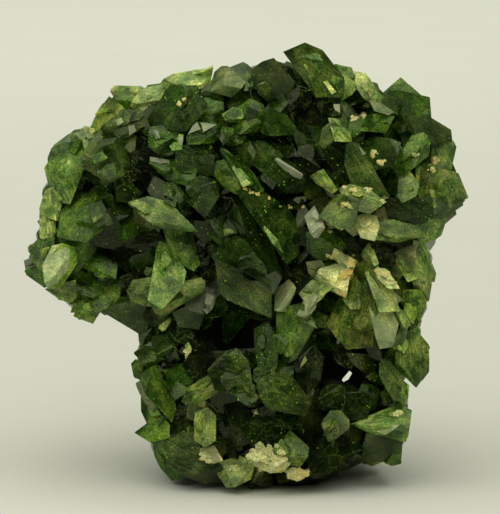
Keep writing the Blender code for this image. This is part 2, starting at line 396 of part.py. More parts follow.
def view_axes():
    """Right, up and towards the eye, for the front view."""
    right = Vector((1, 0, 0))
    up = Vector((0, math.sin(LOOK_DOWN), math.cos(LOOK_DOWN)))
    near = Vector((0, -math.cos(LOOK_DOWN), math.sin(LOOK_DOWN)))
    return right, up, near


def view_turn():
    """Turns right, up and near into the world's axes."""
    return Matrix(view_axes()).transposed().to_4x4()


def from_view(across, down, near):
    """The point seen at this place of the front view, this near the eye, in metres from the foot."""
    shrink = 1 - near * MM / EYE_DISTANCE
    right_axis, up_axis, near_axis = view_axes()
    x = (across - VIEW_CENTRE[0]) * shrink + VIEW_CENTRE[0] - FOOT[0]
    z = (VIEW_CENTRE[1] - down) * shrink + FOOT[1] - VIEW_CENTRE[1]
    return (right_axis * x + up_axis * z + near_axis * near - Vector((0, FOOT_BACK, 0))) * MM


def bulge(across, down):
    """How near the lobes' front is at this place of the front view, in mm."""
    best = 0.0
    for centre, half, depth, _ in LOBES:
        share = ((across - centre[0]) / half[0]) ** 2 + ((down - centre[1]) / half[1]) ** 2
        best = max(best, depth * math.sqrt(max(0.0, 1 - share)))
    return best


def block(reach):
    """A cube that a crystal is cut from."""
    body = bmesh.new()
    bmesh.ops.create_cube(body, size=2 * reach)
    return body


def cut(body, point, outward):
    """Cuts a convex body flat at the plane, and closes it."""
    everything = body.verts[:] + body.edges[:] + body.faces[:]
    found = bmesh.ops.bisect_plane(
        body, geom=everything, dist=1e-7, plane_co=point, plane_no=outward, clear_outer=True
    )
    rim = [item for item in found["geom_cut"] if isinstance(item, bmesh.types.BMEdge)]
    if len(rim) > 2:
        bmesh.ops.contextual_create(body, geom=rim)


def finish_crystal(name, body, matrix, crystals):
    """Turns the cut body into an object of the crystals' collection."""
    bmesh.ops.remove_doubles(body, verts=body.verts[:], dist=2e-6)
    bmesh.ops.dissolve_degenerate(body, edges=body.edges[:], dist=2e-6)
    bmesh.ops.recalc_face_normals(body, faces=body.faces[:])
    mesh = bpy.data.meshes.new(name)
    body.transform(matrix)
    body.to_mesh(mesh)
    body.free()
    crystal = bpy.data.objects.new(name, mesh)
    crystal.hide_render = True
    crystal.display_type = "WIRE"
    crystals.objects.link(crystal)


def convex_rim(rim):
    """The rim's hull, anticlockwise as seen with down turned to up."""
    points = [Vector((across, -down)) for across, down in rim]
    return [points[i] for i in convex_hull_2d(points)]


def front_crystal(name, out, lean, rim, crystals, dice):
    """A crystal whose rim fills the given outline in the front view."""
    corners = convex_rim(rim)
    middle = sum(corners, Vector((0, 0))) / len(corners)
    size = math.sqrt(sum((c - middle).length_squared for c in corners) / len(corners))
    near = bulge(middle.x, -middle.y) + out
    depth = max(2 * size * dice.uniform(*FRONT_DEPTH), out + max(HEART_COVERS) + FRONT_ROOT)
    body = block(8 * size)
    lean = (lean[0] * FRONT_LEAN, lean[1] * FRONT_LEAN)
    face_normal = Vector((lean[0], lean[1], 1)).normalized()
    cut(body, Vector((0, 0, 0)), face_normal)
    count = len(corners)
    for i in range(count):
        start = corners[i] - middle
        end = corners[(i + 1) % count] - middle
        along = end - start
        outward = Vector((along.y, -along.x)).normalized()
        if outward.dot(start) < 0:
            outward = -outward
        taper = dice.uniform(*FRONT_TAPER)
        cut(body, Vector((start.x, start.y, 0)), Vector((outward.x, outward.y, -taper)))
        if dice.random() < FRONT_BEVEL_ODDS:
            width = size * dice.uniform(*FRONT_BEVEL_WIDTH)
            slope = dice.uniform(*FRONT_BEVEL_SLOPE)
            inside = start - outward * width
            height = -(lean[0] * inside.x + lean[1] * inside.y)
            bevel = Vector((outward.x * slope, outward.y * slope, 1))
            cut(body, Vector((inside.x, inside.y, height)), bevel)
    turn = dice.uniform(0, 2 * math.pi)
    for third in range(3):
        angle = turn + third * 2 * math.pi / 3
        tilt = Vector((math.cos(angle) * FRONT_BACK_SLOPE, math.sin(angle) * FRONT_BACK_SLOPE, -1))
        cut(body, Vector((0, 0, -depth)), tilt)
    place = from_view(middle.x, -middle.y, near)
    shrink = MM * (1 - near * MM / EYE_DISTANCE)
    matrix = Matrix.Translation(place) @ view_turn() @ Matrix.Scale(shrink, 4)
    finish_crystal(name, body, matrix, crystals)


def uvite_crystal(name, place, axis, half_width, half_length, crystals, dice):
    """A crystal of uvite's own habit: a short six-sided prism that ends in a three-faced point."""
    body = block(4 * max(half_width, half_length))
    turn = dice.uniform(0, 2 * math.pi)
    for side in range(6):
        angle = turn + side * math.pi / 3
        outward = Vector((math.cos(angle), math.sin(angle), 0))
        cut(body, outward * half_width * dice.uniform(*PRISM_REACH), outward)
    steep_end = dice.random() < STEEP_ODDS
    for side in range(3):
        facing = turn + math.pi / 6 + side * 2 * math.pi / 3
        flat = Vector((math.cos(facing), math.sin(facing), 0))
        low = flat * math.sin(LOW_PYRAMID) + Vector((0, 0, math.cos(LOW_PYRAMID)))
        cut(body, Vector((0, 0, half_length * dice.uniform(0.75, 1.0))), low)
        if steep_end:
            steep = -flat * math.sin(STEEP_PYRAMID) + Vector((0, 0, math.cos(STEEP_PYRAMID)))
            cut(body, Vector((0, 0, half_length * dice.uniform(0.95, 1.25))), steep)
    if dice.random() < FLAT_END_ODDS:
        cut(body, Vector((0, 0, half_length * dice.uniform(0.6, 0.85))), Vector((0, 0, 1)))
    cut(body, Vector((0, 0, -half_length)), Vector((0, 0, -1)))  # the end that is rooted in the heart
    turned = axis.to_track_quat("Z", "Y").to_matrix().to_4x4()
    finish_crystal(name, body, Matrix.Translation(place) @ turned, crystals)


def grow_front(crystals):
    for name, out, lean, rim in FRONT:
        front_crystal(name, out, lean, rim, crystals, random.Random(f"{name} {FRONT_SEED}"))


def heart(index, crystals):
    """A many-sided lump just under the surface of a lobe."""
    centre, half, front, back = LOBES[index]
    body = block(60)
    middle = Vector((centre[0], -centre[1], 0))
    body.transform(Matrix.Translation(middle))
    corners = convex_rim(HEARTS[index])
    for i in range(len(corners)):
        start = corners[i]
        along = corners[(i + 1) % len(corners)] - start
        outward = Vector((along.y, -along.x)).normalized()
        inside = start - outward * HEART_INSETS[index]
        cut(body, Vector((inside.x, inside.y, 0)), Vector((outward.x, outward.y, 0)))
    for i in range(HEART_FACES):
        height = 1 - (2 * i + 1) / HEART_FACES
        turn = i * math.pi * (3 - math.sqrt(5))
        flat = math.sqrt(1 - height * height)
        outward = Vector((flat * math.cos(turn), flat * math.sin(turn), height))
        reach = front if height > 0 else back
        radii = (half[0] - HEART_INSETS[index], half[1] - HEART_INSETS[index], reach - HEART_COVERS[index])
        support = math.sqrt(sum((outward[k] * radii[k]) ** 2 for k in range(3)))
        cut(body, middle + outward * support, outward)
    matrix = Matrix.Translation(from_view(0, 0, 0)) @ view_turn() @ Matrix.Scale(MM, 4)
    finish_crystal(f"heart_{index}", body, matrix, crystals)


def hollow(name, depth, rim):
    """What is missing from the heart behind a gap between the crystals."""
    corners = convex_rim(rim)
    middle = sum(corners, Vector((0, 0))) / len(corners)
    floor = bulge(middle.x, -middle.y) - depth
    return prism(name, corners, corners, HOLLOW_MOUTH, floor)


def prism(name, front_corners, back_corners, near_front, near_back):
    """A closed body between two outlines of the front view, at two distances from the eye."""
    body = bmesh.new()
    rings = []
    for corners, near in ((front_corners, near_front), (back_corners, near_back)):
        rings.append([body.verts.new(from_view(c.x, -c.y, near)) for c in corners])
    body.faces.new(rings[0])
    body.faces.new(list(reversed(rings[1])))
    for i in range(len(rings[0])):
        j = (i + 1) % len(rings[0])
        body.faces.new((rings[0][j], rings[0][i], rings[1][i], rings[1][j]))
    bmesh.ops.recalc_face_normals(body, faces=body.faces[:])
    mesh = bpy.data.meshes.new(name)
    body.to_mesh(mesh)
    body.free()
    cutter = bpy.data.objects.new(name, mesh)
    cutter.hide_render = True
    cutter.display_type = "WIRE"
    return cutter


def window_cutter():
    """The narrow gap that daylight shows through."""
    corners = convex_rim(WINDOW)
    middle = sum(corners, Vector((0, 0))) / len(corners)
    wide = [middle + (c - middle) * WINDOW_FLARE for c in corners]
    cutter = prism("window_cutter", corners, wide, *WINDOW_SPAN)
    bpy.context.scene.collection.objects.link(cutter)
    return cutter


def hollowed_heart(crystals):
    """The hearts as one solid, with its hollows cut out, among the crystals."""
    lumps = bpy.data.collections.new("lumps")
    bpy.context.scene.collection.children.link(lumps)
    for index in range(len(LOBES)):
        heart(index, lumps)
    first = lumps.objects["heart_0"]
    for index in range(1, len(LOBES)):
        add_cut(first, "UNION", lumps.objects[f"heart_{index}"])
    for name, depth, rim in HOLLOWS:
        cutter = hollow(name, depth, rim)
        lumps.objects.link(cutter)
        add_cut(first, "DIFFERENCE", cutter)
    graph = bpy.context.evaluated_depsgraph_get()
    mesh = bpy.data.meshes.new_from_object(first.evaluated_get(graph))
    crystals.objects.link(bpy.data.objects.new("heart", mesh))


def add_cut(item, operation, other):
    step = item.modifiers.new(other.name, "BOOLEAN")
    step.operation = operation
    step.solver = "EXACT"
    step.object = other


def clearance(across, down):
    """How far inside the outline of the cluster this place of the front view lies, in mm."""
    place = Vector((across, -down))
    best = -99.0
    for rim in HEARTS:
        corners = convex_rim(rim)
        least = 99.0
        for i, corner in enumerate(corners):
            along = (corners[(i + 1) % len(corners)] - corner).normalized()
            least = min(least, (place - corner).dot(Vector((-along.y, along.x))))
        best = max(best, least)
    return best


def drawn_in(across, down, centre, room):
    """Moves a place towards the lobe's middle until there is this much room to the outline."""
    while clearance(across, down) < room:
        across += (centre[0] - across) * DRAW_STEP
        down += (centre[1] - down) * DRAW_STEP
    return across, down


def inside_lobe(lobe, across, down, near):
    """Under 1 inside the lobe, and more than 1 outside it."""
    centre, half, _, back = lobe
    return ((across - centre[0]) / half[0]) ** 2 + ((down - centre[1]) / half[1]) ** 2 + (near / back) ** 2


def side_places(dice):
    """Places spread over the sides and the back of the lobes: place, direction outwards and half width."""
    right_axis, up_axis, near_axis = view_axes()
    found = []
    tries = 0
    while len(found) < SIDE_COUNT and tries < SIDE_TRIES:
        tries += 1
        pick = dice.random()
        index = next(i for i, share in enumerate(SIDE_SHARES) if pick <= share)
        centre, half, _, back = LOBES[index]
        direction = Vector((dice.gauss(0, 1), dice.gauss(0, 1), dice.gauss(0, 1))).normalized()
        if direction.z > SIDE_FRONT:
            continue
        half_width = dice.uniform(*SIDE_SIZE)
        across = centre[0] + direction.x * (half[0] - SIDE_SINK[0] * half_width)
        down = centre[1] - direction.y * (half[1] - SIDE_SINK[0] * half_width)
        near = direction.z * (back - SIDE_SINK[1] * half_width)
        across, down = drawn_in(across, down, centre, SIDE_CLEARANCE * half_width)
        others = [lobe for lobe in LOBES if lobe is not LOBES[index]]
        place = from_view(across, down, near)
        if any(inside_lobe(lobe, across, down, near) < SIDE_BURIED for lobe in others):
            continue
        if place.z < half_width * MM * SIDE_LIFT:
            continue
        if any((place - p).length < SIDE_SPREAD * (half_width + w) * MM for p, _, w in found):
            continue
        outward = (
            right_axis * direction.x / half[0]
            + up_axis * direction.y / half[1]
            + near_axis * direction.z / back
        ).normalized()
        found.append((place, outward, half_width))
    return found


def grow_sides(crystals):
    dice = random.Random(SIDE_SEED)
    for i, (place, outward, half_width) in enumerate(side_places(dice)):
        sideways = outward.orthogonal().normalized()
        lean = Matrix.Rotation(dice.uniform(0, 2 * math.pi), 3, outward) @ sideways
        axis = Matrix.Rotation(dice.uniform(0, 1) ** 0.6 * LEAN_OUT, 3, lean) @ outward
        half_length = half_width * dice.uniform(0.75, 1.5)
        uvite_crystal(f"side_{i:03d}", place, axis, half_width * MM, half_length * MM, crystals, dice)


def largest_shell(mesh):
    """Deletes every shell but the outer one, such as closed gaps inside and chips cut loose at the base."""
    body = bmesh.new()
    body.from_mesh(mesh)
    waiting = set(body.faces)
    shells = []
    while waiting:
        shell = set()
        front = [waiting.pop()]
        while front:
            face = front.pop()
            shell.add(face)
            for edge in face.edges:
                for other in edge.link_faces:
                    if other in waiting:
                        waiting.discard(other)
                        front.append(other)
        shells.append(shell)
    shells.sort(key=len, reverse=True)
    extra = [face for shell in shells[1:] for face in shell]
    bmesh.ops.delete(body, geom=extra, context="FACES")
    bmesh.ops.remove_doubles(body, verts=body.verts[:], dist=2e-6)
    bmesh.ops.dissolve_limit(body, angle_limit=FLAT_ENOUGH, verts=body.verts[:], edges=body.edges[:])
    bmesh.ops.triangulate(body, faces=body.faces[:])
    bmesh.ops.dissolve_degenerate(body, edges=body.edges[:], dist=2e-6)
    body.to_mesh(mesh)
    body.free()


def floor_cutter():
    """What lies below the base plane, where the cluster broke off the rock."""
    thickness = 30 * MM
    bpy.ops.mesh.primitive_cube_add(size=1, location=(0, 0, -thickness / 2))
    cutter = bpy.context.object
    cutter.name = "floor_cutter"
    cutter.scale = (120 * MM, 120 * MM, thickness)
    bpy.ops.object.transform_apply(location=False, rotation=False, scale=True)
    cutter.hide_render = True
    cutter.display_type = "WIRE"
    return cutter


def uvite_material():
    material = bpy.data.materials.new("uvite_green")
    material.use_nodes = True
    shader = material.node_tree.nodes["Principled BSDF"]
    shader.inputs["Base Color"].default_value = (*GREEN, 1)
    shader.inputs["Roughness"].default_value = 0.18
    shader.inputs["Metallic"].default_value = 0.0
    shader.inputs["IOR"].default_value = 1.63
    return material


def joined(crystals):
    """All crystals as one closed solid, cut flat at the base."""
    first = crystals.objects["heart"]
    crystals.objects.unlink(first)
    bpy.context.scene.collection.objects.link(first)
    union = first.modifiers.new("grown_together", "BOOLEAN")
    union.operation = "UNION"
    union.solver = "EXACT"
    union.operand_type = "COLLECTION"
    union.collection = crystals
    add_cut(first, "DIFFERENCE", window_cutter())
    add_cut(first, "DIFFERENCE", floor_cutter())
    graph = bpy.context.evaluated_depsgraph_get()
    mesh = bpy.data.meshes.new_from_object(first.evaluated_get(graph))
    mesh.name = "uvite_cluster"
    largest_shell(mesh)
    cluster = bpy.data.objects.new("uvite_cluster", mesh)
    bpy.context.scene.collection.objects.link(cluster)
    mesh.materials.clear()
    mesh.materials.append(uvite_material())
    return cluster


def main():
    clear_scene()
    crystals = bpy.data.collections.new("crystals")
    bpy.context.scene.collection.children.link(crystals)
    hollowed_heart(crystals)
    grow_front(crystals)
    grow_sides(crystals)
    joined(crystals)
    for helper in [o for o in bpy.data.objects if o.name != "uvite_cluster"]:
        bpy.data.objects.remove(helper)


main()
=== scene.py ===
import json
import math
import random
from collections import Counter

import bmesh
import bpy
from mathutils import Matrix, Vector
from mathutils.bvhtree import BVHTree
from mathutils.geometry import convex_hull_2d

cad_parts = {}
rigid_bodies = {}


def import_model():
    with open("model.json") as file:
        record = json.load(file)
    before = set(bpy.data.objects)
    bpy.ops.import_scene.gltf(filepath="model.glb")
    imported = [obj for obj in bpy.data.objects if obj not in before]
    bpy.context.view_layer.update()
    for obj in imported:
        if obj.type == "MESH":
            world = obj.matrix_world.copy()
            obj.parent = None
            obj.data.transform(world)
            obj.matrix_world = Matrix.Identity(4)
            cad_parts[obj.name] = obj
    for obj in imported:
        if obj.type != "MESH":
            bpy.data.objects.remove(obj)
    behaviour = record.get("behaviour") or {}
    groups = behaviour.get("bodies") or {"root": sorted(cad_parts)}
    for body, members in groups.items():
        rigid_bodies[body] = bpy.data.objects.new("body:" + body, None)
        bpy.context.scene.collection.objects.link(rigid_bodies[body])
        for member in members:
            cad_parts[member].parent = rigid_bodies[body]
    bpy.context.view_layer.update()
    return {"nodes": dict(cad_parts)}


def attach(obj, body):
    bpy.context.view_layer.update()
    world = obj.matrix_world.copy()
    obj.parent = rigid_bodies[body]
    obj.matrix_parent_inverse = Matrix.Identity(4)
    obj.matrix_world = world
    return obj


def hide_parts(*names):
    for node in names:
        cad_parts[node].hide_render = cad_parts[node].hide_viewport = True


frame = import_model()
cadNode = frame["nodes"]["uvite_cluster"]

mm = 0.001
# Places on the front are millimetres across and down the picture, from its top left corner.
# The camera looks down a little, from eyeDistance, and the rock's foot stands on the floor.
picture = {
    "lookDown": math.radians(10),
    "eyeDistance": 0.5,
    "centre": (25.0, 25.7),
    "foot": (24.46, 47.9),
    "footBack": 4.0,
    "width": 0.05,
}
rightAxis = Vector((1, 0, 0))
upAxis = Vector((0, math.sin(picture["lookDown"]), math.cos(picture["lookDown"])))
nearAxis = Vector((0, -math.cos(picture["lookDown"]), math.sin(picture["lookDown"])))
pictureTurn = Matrix((rightAxis, upAxis, nearAxis)).transposed()


def fromPicture(across, down, near):
    # the point seen at this place of the picture, this near the eye
    shrink = 1 - near * mm / picture["eyeDistance"]
    x = (across - picture["centre"][0]) * shrink + picture["centre"][0] - picture["foot"][0]
    z = (picture["centre"][1] - down) * shrink + picture["foot"][1] - picture["centre"][1]
    return (rightAxis * x + upAxis * z + nearAxis * near - Vector((0, picture["footBack"], 0))) * mm


def deselectAll():
    if bpy.context.object and bpy.context.object.mode != "OBJECT":
        bpy.ops.object.mode_set(mode="OBJECT")
    bpy.ops.object.select_all(action="DESELECT")


def pick(item):
    deselectAll()
    item.select_set(True)
    bpy.context.view_layer.objects.active = item


def placeCamera():
    target = Vector(((picture["centre"][0] - picture["foot"][0]) * mm, -picture["footBack"] * mm, 0))
    target += upAxis * (picture["foot"][1] - picture["centre"][1]) * mm
    place = target + nearAxis * picture["eyeDistance"]
    bpy.ops.object.camera_add(location=place, rotation=(math.pi / 2 - picture["lookDown"], 0, 0))
    camera = bpy.context.object
    camera.name = "frontCamera"
    camera.data.sensor_fit = "HORIZONTAL"
    camera.data.sensor_width = 36
    camera.data.lens = 36 * picture["eyeDistance"] / picture["width"]
    camera.data.clip_start = 0.01
    bpy.context.scene.camera = camera


lights = {
    "softTop": {"place": (-0.04, -0.13, 0.44), "size": 0.85, "watts": 3.6, "colour": (1.0, 0.99, 0.83)},
    "backdropWash": {"place": (0.0, 0.35, 0.50), "size": 0.5, "watts": 1.75, "colour": (1.0, 1.0, 0.84),
                     "aim": (0.0, 1.0, 0.15)},
}
backdrop = {
    "colour": (0.70, 0.71, 0.68), "above": (0.80, 0.82, 0.66), "below": (0.05, 0.06, 0.03), "strength": 0.42,
}


def placeLights():
    for name, light in lights.items():
        place = Vector(light["place"])
        aim = Vector(light.get("aim", (0, 0, 0.022)))
        turn = (place - aim).to_track_quat("Z", "Y").to_euler()
        bpy.ops.object.light_add(type="AREA", location=place, rotation=turn)
        lamp = bpy.context.object
        lamp.name = name
        lamp.data.size = light["size"]
        lamp.data.energy = light["watts"]
        lamp.data.color = light["colour"]
    world = bpy.data.worlds.new("paleRoom")
    bpy.context.scene.world = world
    world.use_nodes = True
    # a pale room above and behind, and dim on the viewer's side
    tree = world.node_tree
    room = tree.nodes["Background"]
    room.inputs["Strength"].default_value = backdrop["strength"]
    direction = tree.nodes.new("ShaderNodeTexCoord")
    split = tree.nodes.new("ShaderNodeVectorMath")
    split.operation = "DOT_PRODUCT"
    split.inputs[1].default_value = (-0.15, 0.62, 0.77)
    height = tree.nodes.new("ShaderNodeMapRange")
    height.inputs["From Min"].default_value = -0.55
    height.inputs["From Max"].default_value = 0.75
    blend = tree.nodes.new("ShaderNodeMix")
    blend.data_type = "RGBA"
    blend.inputs["A"].default_value = (*backdrop["below"], 1)
    blend.inputs["B"].default_value = (*backdrop["above"], 1)
    tree.links.new(direction.outputs["Generated"], split.inputs[0])
    tree.links.new(split.outputs["Value"], height.inputs["Value"])
    tree.links.new(height.outputs["Result"], blend.inputs["Factor"])
    tree.links.new(blend.outputs["Result"], room.inputs["Color"])
    bpy.context.scene.view_settings.view_transform = "Standard"


def layFloor():
    # a sheet of paper that lies flat and curves up behind
    deselectAll()
    bpy.ops.mesh.primitive_plane_add(size=2.4, location=(0, 0, 0))
    floor = bpy.context.object
    floor.name = "paperFloor"
    bpy.ops.object.mode_set(mode="EDIT")
    bpy.ops.mesh.select_mode(type="EDGE")
    bpy.ops.mesh.select_all(action="DESELECT")
    grid = bmesh.from_edit_mesh(floor.data)
    for edge in grid.edges:
        edge.select = all(v.co.y > 1.1 for v in edge.verts)
    bmesh.update_edit_mesh(floor.data)
    bpy.ops.mesh.extrude_region_move(TRANSFORM_OT_translate={"value": (0, 0, 1.2)})
    bpy.ops.mesh.select_all(action="DESELECT")
    grid = bmesh.from_edit_mesh(floor.data)
    for edge in grid.edges:
        edge.select = all(v.co.y > 1.1 and abs(v.co.z) < 0.001 for v in edge.verts)
    bmesh.update_edit_mesh(floor.data)
    bpy.ops.mesh.bevel(offset=0.4, segments=16)
    bpy.ops.object.mode_set(mode="OBJECT")
    bpy.ops.object.transform_apply(location=True, rotation=True, scale=True)
    bpy.ops.object.shade_smooth()
    paper = bpy.data.materials.new("palePaper")
    paper.use_nodes = True
    nodes = paper.node_tree.nodes
    shader = nodes["Principled BSDF"]
    shader.inputs["Roughness"].default_value = 0.9
    coordinates = nodes.new("ShaderNodeTexCoord")
    grain = nodes.new("ShaderNodeTexNoise")
    grain.inputs["Scale"].default_value = 60
    blend = nodes.new("ShaderNodeMix")
    blend.data_type = "RGBA"
    blend.inputs["A"].default_value = (*backdrop["colour"], 1)
    blend.inputs["B"].default_value = (*[c * 0.95 for c in backdrop["colour"]], 1)
    links = paper.node_tree.links
    links.new(coordinates.outputs["Object"], grain.inputs["Vector"])
    links.new(grain.outputs["Fac"], blend.inputs["Factor"])
    links.new(blend.outputs["Result"], shader.inputs["Base Color"])
    floor.data.materials.append(paper)


placeCamera()
placeLights()
layFloor()
print("camera, light and floor are in place")


# What a crystal looks like, by its tone: colour in the light, and how cloudy it is
tones = {
    "bottle": (0.045, 0.100, 0.013),
    "night": (0.024, 0.052, 0.008),
    "sedge": (0.052, 0.080, 0.020),
    "khaki": (0.068, 0.102, 0.022),
    "moss": (0.085, 0.160, 0.023),
    "leaf": (0.120, 0.240, 0.026),
    "fern": (0.190, 0.260, 0.052),
    "lime": (0.270, 0.410, 0.052),
    "leek": (0.180, 0.270, 0.072),
    "olive": (0.170, 0.210, 0.052),
    "umber": (0.075, 0.085, 0.022),
    "pale": (0.370, 0.450, 0.163),
    "milk": (0.520, 0.600, 0.312),
    "cream": (0.740, 0.700, 0.390),
    "chalk": (0.860, 0.880, 0.440),
    "ash": (0.200, 0.245, 0.110),
    "frost": (0.400, 0.430, 0.310),
    "sage": (0.200, 0.260, 0.091),
    "slate": (0.058, 0.090, 0.027),
    # the shade tone is painted shade: near-black for the heart and for crystals set in hollows, recesses and deep
    # shade
    "shade": (0.010, 0.020, 0.004),
}

# The lobes of the cluster: centre, half width and half height in the picture, bulge to the front
# and bulge to the back.
lobes = {
    "crown": ((24.7, 18.8), (22.5, 15.5), 10.5, 11.0),
    "foot": ((28.0, 38.0), (15.0, 14.0), 9.0, 10.0),
    "leftArm": ((9.6, 24.6), (7.6, 7.6), 7.0, 5.5),
    "rightHip": ((38.0, 29.0), (6.2, 9.5), 7.2, 6.5),
}

